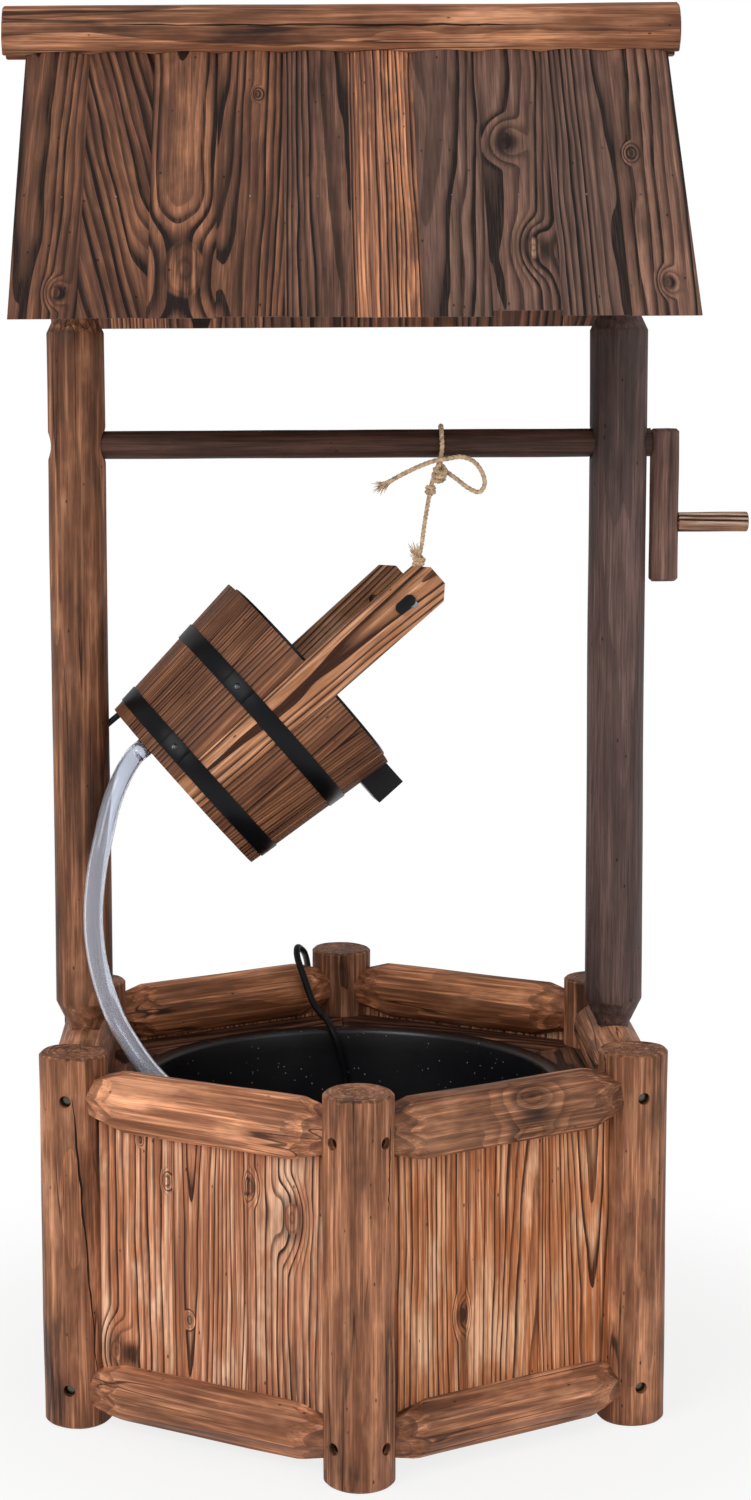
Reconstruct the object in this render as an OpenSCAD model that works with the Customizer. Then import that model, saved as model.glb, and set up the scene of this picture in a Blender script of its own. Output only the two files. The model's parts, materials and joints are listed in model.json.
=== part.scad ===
// Wooden garden fountain in the shape of a wishing well, in millimetres.
// The well's own axis is x = 0, y = 0 while a piece is drawn, and place() then
// moves every piece so that the origin is under the middle of the whole thing.

/* [Base] */
// Radius of the circle that the six post axes stand on
post_circle_r = 254; // [235:1:290]
// Diameter of a post
post_d = 54; // [50:1:58]
// Height of a post
post_h = 299; // [292:1:330]
// Chamfer round the ends of a post
post_chamfer = 2; // [1:0.5:4]
// Diameter of a top rail
top_rail_d = 48; // [44:1:52]
// How far the axis of a top rail is below the top of a post
top_rail_drop = 34; // [31:1:44]
// Diameter of a bottom rail
low_rail_d = 46; // [42:1:50]
// Height of the axis of the bottom rails
low_rail_z = 31.5; // [28:0.5:40]
// Diameter of the turned spigot at each end of a rail
spigot_d = 36; // [30:1:36]
// How deep a spigot sits in its post
spigot_depth = 12; // [8:1:12]
// Length of the cone that leads to a spigot
rail_cone = 24; // [15:1:35]

/* [Panels and deck] */
// Thickness of the panel boards
panel_t = 10; // [8:0.5:14]
// Depth of the grooves that hold the panels
groove_depth = 6; // [4:0.5:8]
// Number of boards in one panel
panel_boards = 3; // [2:1:5]
// Thickness of the deck boards round the basin
deck_t = 10; // [8:0.5:14]
// Gap between the deck and the underside of the top rails
deck_drop = 1; // [1:0.5:4]
// Width and height of the battens that carry the deck
deck_batten = 18; // [14:1:22]
// Length of a deck batten
deck_batten_len = 140; // [100:1:160]

/* [Basin] */
// Inner radius of the basin at its rim
basin_r = 168; // [155:1:172]
// Inner radius of the basin at its floor
basin_floor_r = 150; // [140:1:154]
// Height of the basin's floor above the ground
basin_floor_z = 72; // [60:1:80]
// Wall of the basin
basin_wall = 2.5; // [2:0.5:4]
// Width of the flange that rests on the deck
basin_flange = 15; // [10:1:20]

/* [Uprights] */
// Diameter of an upright
upright_d = 46.5; // [42:0.5:48]
// Height at which the full diameter of an upright ends under the roof
upright_top = 861; // [850:1:870]
// Diameter of the tenon at each end of an upright
tenon_d = 26.4; // [22:0.2:28]
// Length of the cone between an upright and its tenon
upright_cone = 21; // [15:1:25]
// Length of the tenon in its pocket
tenon_len = 23; // [18:1:24]
// Diameter of the log across each gable
tie_d = 46; // [44:1:48]

/* [Roof] */
// Height of the roof's peak above the full diameter of the uprights
roof_rise = 240; // [234:1:250]
// Pitch of the roof in degrees
roof_pitch = 48; // [46:0.5:49]
// Height of the eaves above the full diameter of the uprights
eave_rise = 7; // [0:1:20]
// Number of boards on one slope
roof_boards = 10; // [8:1:12]
// Pitch of the boards along the roof
board_pitch = 51; // [48:0.5:54]
// Gap between two boards
board_gap = 0.6; // [0.4:0.1:1.2]
// Thickness of a roof board at its middle
board_t = 9; // [8:0.5:11]
// How much a board is thicker in its middle than at its edges
board_crown = 2.5; // [1:0.5:4]
// Diameter of the ridge log
ridge_d = 46; // [44:1:50]
// Length of the ridge log
ridge_len = 538; // [530:1:560]
// How far the axis of the ridge log is below the peak
ridge_sink = 4; // [1:1:6]
// Length of a rafter from the peak down the slope
rafter_len = 250; // [235:1:280]

/* [Windlass] */
// Diameter of the crossbar
bar_d = 22.9; // [20:0.1:24]
// Height of the crossbar's axis
bar_z = 770.5; // [750:0.5:790]
// Diameter of the crank arm
arm_d = 23.5; // [22:0.5:26]
// Length of the crank arm
arm_len = 124; // [110:1:140]
// How far the arm stands above the axis of the crossbar
arm_over = 11; // [9:0.5:16]
// Distance from the crossbar's axis to the handle's axis
crank_throw = 65; // [55:1:75]
// Diameter of the handle
handle_d = 16; // [14:0.5:18]
// Free length of the handle
handle_len = 56.5; // [45:0.5:70]

/* [Bucket] */
// Outer radius of the bucket at its bottom
bucket_low_r = 84.3; // [83:0.1:86]
// Outer radius of the bucket at its rim
bucket_rim_r = 98.3; // [96:0.1:100]
// Height of the bucket along its axis
bucket_h = 138; // [136:1:141]
// Thickness of a stave
stave_t = 11; // [10:0.5:12]
// Number of staves in each half, between the two ears
half_staves = 7; // [5:2:9]
// Width of an ear
ear_w = 37; // [34:0.5:38]
// Thickness of an ear
ear_t = 9; // [8:0.5:9.5]
// Length of an ear above the rim
ear_len = 123; // [115:1:130]
// Distance from the tip of an ear to the rod
rod_from_tip = 34; // [28:1:40]
// Diameter of the rod between the ears
rod_d = 8; // [6:0.5:9]
// Width of a band
band_w = 15; // [12:0.5:18]
// Thickness of a band
band_t = 1; // [0.6:0.1:1.6]
// Height of the lower edge of the lower band
low_band_z = 9.6; // [8:0.2:16]
// Height of the lower edge of the upper band
top_band_z = 78.4; // [70:0.2:84]
// Width of the spout
spout_w = 40; // [30:1:44]
// Height of the spout
spout_h = 26; // [20:1:30]
// How far the spout stands out of the staves
spout_out = 18.4; // [12:0.2:24]
// Tilt of the bucket's axis from upright in degrees
bucket_tilt = 49; // [48:0.5:50]

/* [Hose, rope and cable] */
// Outer diameter of the clear hose
hose_d = 16; // [14:0.5:17]
// Diameter of the rope
rope_d = 4; // [3.5:0.1:4.2]
// Diameter of the pump's cable
cable_d = 6; // [5.5:0.1:6.2]

/* [Hidden] */
$fn = 64;

// Colours
post_wood = "#8a5a3c";
rail_wood = "#9a633f";
panel_wood = "#b97c4b";
deck_wood = "#6d452f";
dark_wood = "#5d4336";
roof_wood = "#6b4a39";
bar_wood = "#3c2a25";
bucket_wood = "#8b5a3e";
ear_wood = "#c58a5c";
black_plastic = "#1d1f22";
black_steel = "#26282b";
bright_steel = "#b9bcc0";
clear_vinyl = "#b8c6e0";
jute = "#c9a27c";
black_cable = "#202124";

// Clearances
seat_gap = 0.3;
run_gap = 0.06;
pin_gap = 0.1;

// Base
side_count = 6;
top_rail_z = post_h - top_rail_drop;
side_r = post_circle_r * cos(30);
half_side = post_circle_r / 2;
post_r = post_d / 2;
top_rail_crest = top_rail_z + top_rail_d / 2;
deck_z = top_rail_z - top_rail_d / 2 - deck_drop - deck_t;
deck_top = deck_z + deck_t;
panel_low = low_rail_z + low_rail_d / 2 - groove_depth;
panel_high = top_rail_z - top_rail_d / 2 + groove_depth;
panel_half = half_side - post_r - seat_gap;
panel_gap = 0.4;

// Screws that hold the rails
screw_turn = 132;
screw_shank_d = 4.5;
screw_head_d = 8.4;
screw_head_h = 3;
screw_seat = 19;
screw_reach = 46;
counterbore_d = 9.6;

// Uprights and gables
upright_r = upright_d / 2;
upright_foot = top_rail_crest + 1;
upright_low = upright_foot - tenon_len;
upright_neck = upright_top + upright_cone;
upright_high = upright_neck + tenon_len;
tie_z = upright_neck + 1 + tie_d / 2;

// Roof
roof_apex_z = upright_top + roof_rise;
eave_z = upright_top + eave_rise;
ridge_z = roof_apex_z - ridge_sink;
roof_w = roof_boards * board_pitch;
roof_reach = 1.4 * post_circle_r;
past_peak = 30;
inner_apex_z = roof_apex_z - board_t / cos(roof_pitch);
rafter_w = 22;
rafter_t = 24;
ridge_batten_half = 18;
ridge_batten_drop = 14;
ridge_batten_len = 480;
purlin_s = 176;
purlin_w = 24;
purlin_t = 16;
ridge_shift = -4.7;
roof_mid = 0.15;
brad_d = 1.8;
brad_high_s = 20;
brad_high_len = 18;
brad_low_len = 20;
brad_shift = 5;
// How much shorter each front board was sawn, from left to right
eave_trim = [0, 0.5, 0, 1, 0.5, 0, 0, 4.5, 0.5, 0, 0, 0];

// Windlass
bar_r = bar_d / 2;
bar_left = -side_r - 15.7;
arm_x = side_r + upright_r + 3 + arm_d / 2;
arm_low = bar_z + arm_over - arm_len;
arm_tenon_d = 12;
arm_tenon_reach = 8;
handle_z = bar_z - crank_throw;
handle_tenon_d = 9;
handle_tenon_len = 18;
handle_x = arm_x + arm_d / 2;
crank_pin_d = 2.5;
crank_pin_len = 16;

// The whole thing spans from the left end of the ridge log to the handle
span_left = ridge_shift - ridge_len / 2;
span_right = handle_x + handle_len;
mid_x = (span_left + span_right) / 2;

// Bucket
bucket_at = [-136, -8, 491.5];
bucket_turn = 8;
bucket_roll = 4.8;
flare = (bucket_rim_r - bucket_low_r) / bucket_h;
lean = atan(flare);
ear_half_angle = asin(ear_w / 2 / bucket_rim_r);
stave_angle = (180 - 2 * ear_half_angle) / half_staves;
stave_split = 0.1;
ear_setback = 0.8;
ear_chamfer = 10;
ear_root = 12;
rod_z = bucket_h + ear_len - rod_from_tip;
rod_head = [18, 9.4, 3];
bottom_z = 4;
bottom_t = 10;
liner_t = 2;
lip_w = 4;
lip_t = 2.5;
spout_wall = 2.5;
spout_drop = 1.5;
spout_in = 30;
band_screw_angles = [-114, 66];
band_screw_d = 2.4;
band_screw_len = 8;
band_screw_head_d = 5;
band_screw_head_h = 1.2;
fitting_x = -45;
fitting_r = 6.2;
fitting_drop = 2;
stay_d = 5;
stay_at = [-78.4, 7.5, 0];
stay_in_stave = 14;
stay_in_upright = 34;
rope_bar_x = 76;
rope_gap = 0.8;

// Pump, standing on the basin's floor
pump_at = [-60, -20];
pump_size = [62, 46, 44];
foot_h = 5;
foot_r = 8;
foot_inset = 12;
pump_z = basin_floor_z + foot_h;
rotor_z = pump_z + pump_size.z / 2;
chamber_r = 17.5;
chamber_len = 10;
rotor_r = 7.5;
rotor_len = 22;
rotor_bore_r = 8.2;
shaft_r = 1.5;
outlet_r = 8;
outlet_h = 4;
outlet_bore_r = 5;
gland_r = 5.5;
gland_len = 22;
gland_x = 10;
cover_t = 3;
dial_r = 11;
dial_t = 3;
dial_pin_r = 2;

// Plug
plug_at = [-192, 300, 7];
plug_relief = 22;
plug_body = [32, 24, 14];
blade = [16, 1.6, 6.4];
blade_apart = 12.7;

// Routes
function unit(v) = v / norm(v);
function turn_z(p, a) = [p.x * cos(a) - p.y * sin(a), p.x * sin(a) + p.y * cos(a), p.z];
function turn_y(p, a) = [p.x * cos(a) + p.z * sin(a), p.y, p.z * cos(a) - p.x * sin(a)];
function bucket_way(p) = turn_z(turn_y(turn_z(p, -bucket_roll), bucket_tilt), bucket_turn);
function bucket_point(p) = bucket_at + bucket_way(p);

// Outer radius of the staves at a height along the bucket
function stave_r(z) = bucket_low_r + flare * z;

stay_from = bucket_point(stay_at);
sway_top = [rope_bar_x, 0, bar_z];
sway_way = unit(sway_top - stay_from);

outlet_top = [pump_at.x, pump_at.y, pump_z + pump_size.z + outlet_h];
hose_start = bucket_point([fitting_x, 0, -fitting_drop - pin_gap]);
hose_route = concat(
  [bucket_point([fitting_x, 0, -fitting_drop - 6]), bucket_point([fitting_x, 0, -fitting_drop - 12])],
  [
    [-185, -19, 502], [-194, -28, 480], [-200, -36, 455], [-206, -42, 425],
    [-209, -44, 387], [-205, -48, 350], [-193, -56, 313], [-178, -68, 289],
    [-160, -78, 267], [-133, -72, 238], [-112, -58, 212], [-90, -42, 186],
    [-70, -27, 164]
  ],
  [outlet_top + [0, 0, 16], outlet_top + [0, 0, 8]]
);

wrap_r = bar_r + rope_gap + rope_d / 2;
rod_wrap_r = rod_d / 2 + seat_gap + rope_d / 2;
rod_knot = bucket_point([0, -90, rod_z]);
rod_side = unit(bucket_way([1, 0, 0.9]));
rod_over = unit(bucket_way([-0.9, 0, 1]));
rope_route = concat(
  [
    [27, -15, 734], [36, -15, 740], [48, -16, 747], [60, -17, 753], [70, -19, 757],
    [80, -19.5, 758.5], [91, -19, 760], [101, -18, 756.5], [108, -17, 748],
    [110.5, -16, 738], [106, -15, 731.5], [97, -14.5, 735], [88, -13.5, 742],
    [80, -10, 748], [76, -3, 752.5]
  ],
  [for (a = [25:45:300]) [rope_bar_x, wrap_r * sin(a), bar_z - wrap_r * cos(a)]],
  [[73, -15, 753.5], [68, -17, 740], [65, -23, 727], [61, -35, 708], [57, -49, 686]],
  [for (a = [0, 45, 90, 135, 180]) rod_knot + rod_wrap_r * (rod_side * cos(a) - rod_over * sin(a))],
  [[39, -65, 667], [41, -57, 678], [45, -51, 688]]
);

cable_gland = [pump_at.x + gland_x, pump_at.y + pump_size.y / 2 + gland_len, pump_z + 15];
coil_at = [-148, 256];
coil_wide = 43;
coil_step = 6.6;
coil_turns = 2.25;
coil_rings = 24;
coil_z = 0.9 + cable_d / 2;
cable_floor = basin_floor_z + cable_d / 2 + 2 * seat_gap;
cable_route = concat(
  [cable_gland + [0, 4, 0], cable_gland + [0, 9, 0]],
  [
    [-49, 44, 88], [-45, 58, 80], [-38, 76, cable_floor], [-28, 99, cable_floor],
    [-14, 122, 77], [-4, 138, 86], [1, 148, 106], [2, 153, 135], [2, 157, 170],
    [1, 159.5, 200], [-4, 158.5, 222], [-9, 160, 240], [-15, 170, 250.5],
    [-20, 186, 252], [-28, 198, 262], [-35, 205, 281], [-41, 214, 298],
    [-41, 225, 305.5], [-36, 238, 300], [-33, 252, 291], [-31, 265, 277],
    [-30, 274, 255], [-30, 278, 220], [-31, 280, 180], [-33, 282, 130],
    [-37, 285, 80], [-44, 289, 45], [-58, 293, 20], [-78, 297, 7],
    [-100, 299, coil_z], [-125, 299, coil_z]
  ],
  [[coil_at.x + 6, coil_at.y + coil_wide, coil_z]]
);

// A cable coil that spirals in, climbs a layer and spirals out again
function coil_ring(t) =
  let (
    climb = coil_turns + 0.5,
    inner = coil_wide - coil_step * coil_turns,
    dip = 1.2 * sin(360 * (t - coil_turns)),
    r = t < coil_turns ? coil_wide - coil_step * t : t < climb ? inner - dip : inner + coil_step * (t - climb),
    z = t < coil_turns ? 0 : t < climb ? (t - coil_turns) * 2 : 1,
    a = 90 + 360 * t
  )
  [coil_at.x + r * cos(a), coil_at.y + r * sin(a), coil_z + coil_step * z];
coil_all = 2 * coil_turns + 0.5;
coil_path = concat(
  [[coil_at.x, coil_at.y + coil_wide, coil_z]],
  [for (k = [1:coil_rings * coil_all - 1]) coil_ring(k / coil_rings)],
  [coil_ring(coil_all) + [-8, 0.3, 0], coil_ring(coil_all) + [-16, 0.8, -0.2],
   [plug_at.x + 18, plug_at.y, 9.4], [plug_at.x + 10, plug_at.y, 7.6], [plug_at.x + 4, plug_at.y, plug_at.z],
   plug_at]
);

// A smooth curve through the chosen points, with some steps from each to the next
function spline(a, b, c, d, t) =
  0.5 * (2 * b + (c - a) * t + (2 * a - 5 * b + 4 * c - d) * t * t + (3 * b - a - 3 * c + d) * t * t * t);
function smooth(p, steps) = concat(
  [for (i = [0:len(p) - 2]) for (k = [0:steps - 1])
    spline(p[max(i - 1, 0)], p[i], p[i + 1], p[min(i + 2, len(p) - 1)], k / steps)],
  [p[len(p) - 1]]
);
hose_path = concat([hose_start], smooth(hose_route, 2), [outlet_top + [0, 0, pin_gap]]);
cable_path = concat([cable_gland], smooth(cable_route, 2), [[coil_at.x, coil_at.y + coil_wide, coil_z]]);
rope_path = smooth(rope_route, 2);
function path_len(p, i = 0) = i >= len(p) - 1 ? 0 : norm(p[i + 1] - p[i]) + path_len(p, i + 1);
function ways(p) = [for (i = [0:len(p) - 1]) unit(p[min(i + 1, len(p) - 1)] - p[max(i - 1, 0)])];
function across(v, t) = unit(v - (v * t) * t);
function side_ways(t, first) =
  [for (i = 0, v = across(first, t[0]); i < len(t); i = i + 1, v = i < len(t) ? across(v, t[i]) : v) v];
function tube_rings(p, r, sides, first) =
  let (t = ways(p), n = side_ways(t, first))
  [for (i = [0:len(p) - 1]) for (k = [0:sides - 1])
    p[i] + r * (cos(360 * k / sides) * n[i] + sin(360 * k / sides) * cross(t[i], n[i]))];
// Least space between stretches of a path that are some rings apart
function self_gap(p, d, apart) =
  min([for (i = [0:len(p) - 1 - apart]) for (j = [i + apart:len(p) - 1]) norm(p[i] - p[j])]) - d;

// A round tube along a path, closed at both ends
module tube(p, d, sides, first = [0, 0, 1]) {
  n = len(p);
  last = (n - 1) * sides;
  walls = [for (i = [0:n - 2]) for (k = [0:sides - 1])
    let (a = i * sides + k, b = i * sides + (k + 1) % sides)
    each [[a, b, b + sides], [a, b + sides, a + sides]]];
  caps = [for (k = [1:sides - 2]) each [[0, k + 1, k], [last, last + k, last + k + 1]]];
  polyhedron(points = tube_rings(p, d / 2, sides, first), faces = [for (f = concat(walls, caps)) [f[2], f[1], f[0]]]);
}

// Placing
module place() translate([-mid_x, 0, 0]) children();
module at_corner(i) rotate([0, 0, -90 + 60 * i]) translate([post_circle_r, 0, 0]) children();
module at_side(i) rotate([0, 0, -60 + 60 * i]) translate([side_r, 0, 0]) children();
module along(p, v) translate(p) rotate([0, acos(v.z), atan2(v.y, v.x)]) children();
module in_bucket() translate(bucket_at) rotate([0, 0, bucket_turn]) rotate([0, bucket_tilt, 0])
  rotate([0, 0, -bucket_roll]) children();
// Lays out a slope of the roof: -y runs down the slope and +z stands out of it
module on_slope(back) mirror([0, back ? 1 : 0, 0]) translate([0, 0, roof_apex_z])
  rotate([roof_pitch, 0, 0]) children();
// The space under two slopes that meet at a height
module under_roof(peak, length, reach) translate([-length / 2, 0, 0]) rotate([90, 0, 90])
  linear_extrude(length) polygon([
    [0, peak], [reach, peak - reach * tan(roof_pitch)], [-reach, peak - reach * tan(roof_pitch)]
  ]);

// The line of one screw, from a post into a rail
module on_screw(i, side, z) at_corner(i) rotate([0, 0, side * screw_turn]) translate([0, 0, z])
  rotate([0, 90, 0]) children();
module screw_hole(i, side, z) on_screw(i, side, z) {
  translate([0, 0, -screw_seat]) cylinder(d = screw_shank_d + 2 * pin_gap, h = screw_seat + screw_reach + pin_gap);
  translate([0, 0, -post_r - 1]) cylinder(d = counterbore_d, h = post_r + 1 - screw_seat);
}

// Base
module post(i) color(post_wood) place() difference() {
  at_corner(i) rotate_extrude() polygon([
    [0, 0], [post_r - post_chamfer, 0], [post_r, post_chamfer], [post_r, post_h - post_chamfer],
    [post_r - post_chamfer, post_h], [0, post_h]
  ]);
  for (side = [-1, 1]) for (z = [low_rail_z, top_rail_z]) {
    at_corner(i) rotate([0, 0, side * 120]) translate([post_r - spigot_depth, 0, z]) rotate([0, 90, 0])
      cylinder(d = spigot_d + 2 * seat_gap, h = post_d);
    screw_hole(i, side, z);
  }
}

module rail(i, d, z, upper) color(rail_wood) place() difference() {
  neck = half_side - post_r;
  tip = neck + spigot_depth;
  at_side(i) translate([0, 0, z]) rotate([90, 0, 0]) rotate_extrude() polygon([
    [0, -tip], [spigot_d / 2, -tip], [spigot_d / 2, -neck], [d / 2, rail_cone - neck],
    [d / 2, neck - rail_cone], [spigot_d / 2, neck], [spigot_d / 2, tip], [0, tip]
  ]);
  // Groove for the panel
  at_side(i) translate([-panel_t / 2 - seat_gap / 2, -panel_half - seat_gap, upper ? panel_high - d : panel_low])
    cube([panel_t + seat_gap, 2 * (panel_half + seat_gap), d]);
  screw_hole(i, 1, z);
  screw_hole((i + 1) % side_count, -1, z);
  // Pocket for the tenon of an upright
  if (upper && (i == 1 || i == 4))
    at_side(i) translate([0, 0, upright_low]) cylinder(d = tenon_d + 2 * seat_gap, h = d);
}

module panel(i) color(panel_wood) place() at_side(i) {
  board_w = 2 * panel_half / panel_boards;
  for (k = [0:panel_boards - 1])
    translate([-panel_t / 2, -panel_half + k * board_w + panel_gap / 2, panel_low])
      cube([panel_t, board_w - panel_gap, panel_high - panel_low]);
}

module rail_screws() color(bright_steel) place()
  for (i = [0:side_count - 1]) for (side = [-1, 1]) for (z = [low_rail_z, top_rail_z])
    on_screw(i, side, z) {
      translate([0, 0, -screw_seat]) cylinder(d = screw_shank_d, h = screw_seat + screw_reach);
      translate([0, 0, -screw_seat - screw_head_h]) cylinder(d = screw_head_d, h = screw_head_h);
    }

module deck_boards() color(deck_wood) place() {
  out = side_r - panel_t / 2 - seat_gap;
  inside = basin_floor_r - 20;
  for (i = [0:side_count - 1]) difference() {
    rotate([0, 0, -60 + 60 * i]) translate([0, 0, deck_z]) linear_extrude(deck_t) polygon([
      [inside, -inside * tan(30) + seat_gap], [out, -out * tan(30) + seat_gap],
      [out, out * tan(30) - seat_gap], [inside, inside * tan(30) - seat_gap]
    ]);
    translate([0, 0, deck_z - 1]) cylinder(r = basin_r + basin_wall + seat_gap, h = deck_t + 2, $fn = 128);
    for (k = [i, i + 1]) at_corner(k) translate([0, 0, deck_z - 1])
      cylinder(r = post_r + seat_gap, h = deck_t + 2);
  }
}

module deck_battens() color(deck_wood) place() for (i = [0:side_count - 1])
  at_side(i) translate([-panel_t / 2 - deck_batten, -deck_batten_len / 2, deck_z - deck_batten])
    cube([deck_batten, deck_batten_len, deck_batten]);

module basin() color(black_plastic) place() rotate_extrude($fn = 128) polygon([
  [0, basin_floor_z - basin_wall], [basin_floor_r + basin_wall, basin_floor_z - basin_wall],
  [basin_r + basin_wall, deck_top], [basin_r + basin_flange, deck_top],
  [basin_r + basin_flange, deck_top + basin_wall], [basin_r, deck_top + basin_wall],
  [basin_floor_r, basin_floor_z], [0, basin_floor_z]
]);

// Uprights, gables and roof
module upright(side) color(dark_wood) place() difference() {
  translate([side * side_r, 0, 0]) rotate_extrude() polygon([
    [0, upright_low], [tenon_d / 2, upright_low], [tenon_d / 2, upright_foot],
    [upright_r, upright_foot + upright_cone], [upright_r, upright_top],
    [tenon_d / 2, upright_neck], [tenon_d / 2, upright_high], [0, upright_high]
  ]);
  // Bearing of the crossbar, blind on the left and right through on the right
  translate([side < 0 ? bar_left - seat_gap : side_r - upright_d, 0, bar_z]) rotate([0, 90, 0])
    cylinder(r = bar_r + run_gap, h = 2 * upright_d);
  // Bearing of the bucket's stay
  if (side < 0) along(stay_from, sway_way) translate([0, 0, -stay_in_upright - seat_gap])
    cylinder(r = stay_d / 2 + run_gap, h = stay_in_upright);
}

module tie_shape(side, gap) translate([side * side_r, 0, tie_z]) rotate([90, 0, 0])
  cylinder(r = tie_d / 2 + gap, h = roof_reach, center = true);

module gable_frames() color(dark_wood) place() for (side = [-1, 1]) {
  difference() {
    intersection() {
      tie_shape(side, 0);
      under_roof(inner_apex_z, 2 * roof_w, roof_reach);
    }
    translate([side * side_r, 0, upright_high - tie_d]) cylinder(d = tenon_d + 2 * seat_gap, h = tie_d);
  }
  for (back = [false, true]) difference() {
    on_slope(back) translate([side * side_r - rafter_w / 2, -rafter_len, -board_t - rafter_t])
      cube([rafter_w, rafter_len + past_peak, rafter_t]);
    tie_shape(side, seat_gap);
    translate([-roof_w, -ridge_batten_half, 0]) cube([2 * roof_w, 2 * ridge_batten_half, 2 * roof_apex_z]);
    translate([-roof_w, back ? -roof_reach : 0, 0]) cube([2 * roof_w, roof_reach, 2 * roof_apex_z]);
    brad_holes(back);
  }
}

// Where the headless brads go through the boards, with a gap round them
module brads(back, gap) for (k = [0:roof_boards - 1]) {
  mid = -roof_w / 2 + (k + 0.5) * board_pitch;
  high_x = mid + (back ? brad_shift : -brad_shift);
  low_x = max(-side_r, min(side_r, mid));
  on_slope(back) translate([high_x, -brad_high_s, -brad_high_len]) cylinder(d = brad_d + 2 * gap, h = brad_high_len);
  on_slope(back) translate([low_x, -purlin_s - purlin_w / 2, -brad_low_len])
    cylinder(d = brad_d + 2 * gap, h = brad_low_len);
}
module brad_holes(back) brads(back, pin_gap / 2);

module roof_battens() color(dark_wood) place() {
  side_z = inner_apex_z - ridge_batten_half * tan(roof_pitch);
  difference() {
    translate([-ridge_batten_len / 2, 0, 0]) rotate([90, 0, 90]) linear_extrude(ridge_batten_len) polygon([
      [0, inner_apex_z], [ridge_batten_half, side_z], [ridge_batten_half, side_z - ridge_batten_drop],
      [-ridge_batten_half, side_z - ridge_batten_drop], [-ridge_batten_half, side_z]
    ]);
    brad_holes(false);
    brad_holes(true);
  }
  for (back = [false, true]) difference() {
    on_slope(back) translate([-side_r + rafter_w / 2, -purlin_s - purlin_w, -board_t - purlin_t])
      cube([2 * side_r - rafter_w, purlin_w, purlin_t]);
    brad_holes(back);
  }
}

module board_section() intersection() {
  w = board_pitch - board_gap;
  r = (w * w / 4 + board_crown * board_crown) / (2 * board_crown);
  square([w, board_t]);
  translate([w / 2, board_t - r]) circle(r = r, $fn = 256);
}

module roof_slope(back) color(roof_wood) place() for (k = [0:roof_boards - 1]) difference() {
  on_slope(back) translate([-roof_w / 2 + k * board_pitch + board_gap / 2, past_peak, -board_t])
    rotate([90, 0, 0]) linear_extrude(roof_reach) board_section();
  translate([-roof_w, -roof_reach, 0])
    cube([2 * roof_w, 2 * roof_reach, eave_z + (back ? 0 : eave_trim[k])]);
  translate([-roof_w, back ? roof_mid - roof_reach : -roof_mid, 0])
    cube([2 * roof_w, roof_reach, 2 * roof_apex_z]);
  brad_holes(back);
}

module roof_brads() color(bright_steel) place() for (back = [false, true]) brads(back, 0);

module ridge_log() color(dark_wood) place() difference() {
  translate([ridge_shift - ridge_len / 2, 0, ridge_z]) rotate([0, 90, 0]) cylinder(d = ridge_d, h = ridge_len);
  under_roof(roof_apex_z + seat_gap / cos(roof_pitch), 2 * ridge_len, roof_reach);
}

// Windlass
module crank_pin(z, gap) translate([arm_x, arm_d / 2 + 0.5, z]) rotate([90, 0, 0])
  cylinder(d = crank_pin_d + 2 * gap, h = crank_pin_len + gap);

module crossbar() color(bar_wood) place() difference() {
  translate([0, 0, bar_z]) rotate([0, 90, 0]) {
    translate([0, 0, bar_left]) cylinder(r = bar_r, h = arm_x - arm_d / 2 - bar_left);
    translate([0, 0, 0]) cylinder(d = arm_tenon_d, h = arm_x + arm_tenon_reach);
  }
  crank_pin(bar_z, pin_gap / 2);
}

module crank_arm() color(dark_wood) place() difference() {
  translate([arm_x, 0, arm_low]) rotate_extrude() polygon([
    [0, 0], [arm_d / 2 - 2.5, 0], [arm_d / 2, 2.5], [arm_d / 2, arm_len - 2.5],
    [arm_d / 2 - 2.5, arm_len], [0, arm_len]
  ]);
  translate([0, 0, bar_z]) rotate([0, 90, 0]) cylinder(d = arm_tenon_d + 2 * pin_gap, h = arm_x + arm_tenon_reach);
  translate([handle_x - handle_tenon_len, 0, handle_z]) rotate([0, 90, 0])
    cylinder(d = handle_tenon_d + 2 * pin_gap, h = 2 * handle_tenon_len);
  crank_pin(bar_z, pin_gap / 2);
  crank_pin(handle_z, pin_gap / 2);
}

module crank_handle() color(rail_wood) place() difference() {
  translate([0, 0, handle_z]) rotate([0, 90, 0]) {
    translate([0, 0, handle_x]) rotate_extrude() polygon([
      [0, 0], [handle_d / 2, 0], [handle_d / 2, handle_len - 1], [handle_d / 2 - 1, handle_len], [0, handle_len]
    ]);
    translate([0, 0, handle_x - handle_tenon_len]) cylinder(d = handle_tenon_d, h = handle_tenon_len + 1);
  }
  crank_pin(handle_z, pin_gap / 2);
}

module crank_pins() color(bright_steel) place() {
  crank_pin(bar_z, 0);
  crank_pin(handle_z, 0);
}

// Bucket, drawn upright and then tilted
module cone_shell(z0, z1, gap_out, gap_in) difference() {
  translate([0, 0, z0]) cylinder(r1 = stave_r(z0) + gap_out, r2 = stave_r(z1) + gap_out, h = z1 - z0, $fn = 128);
  translate([0, 0, z0 - 1]) cylinder(r1 = stave_r(z0 - 1) + gap_in, r2 = stave_r(z1 + 1) + gap_in, h = z1 - z0 + 2, $fn = 128);
}

module wedge(from, to) linear_extrude(2 * bucket_h, center = true) polygon([
  [0, 0],
  [2 * bucket_rim_r * cos(from + stave_split), 2 * bucket_rim_r * sin(from + stave_split)],
  [2 * bucket_rim_r * cos(to - stave_split), 2 * bucket_rim_r * sin(to - stave_split)]
]);

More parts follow.
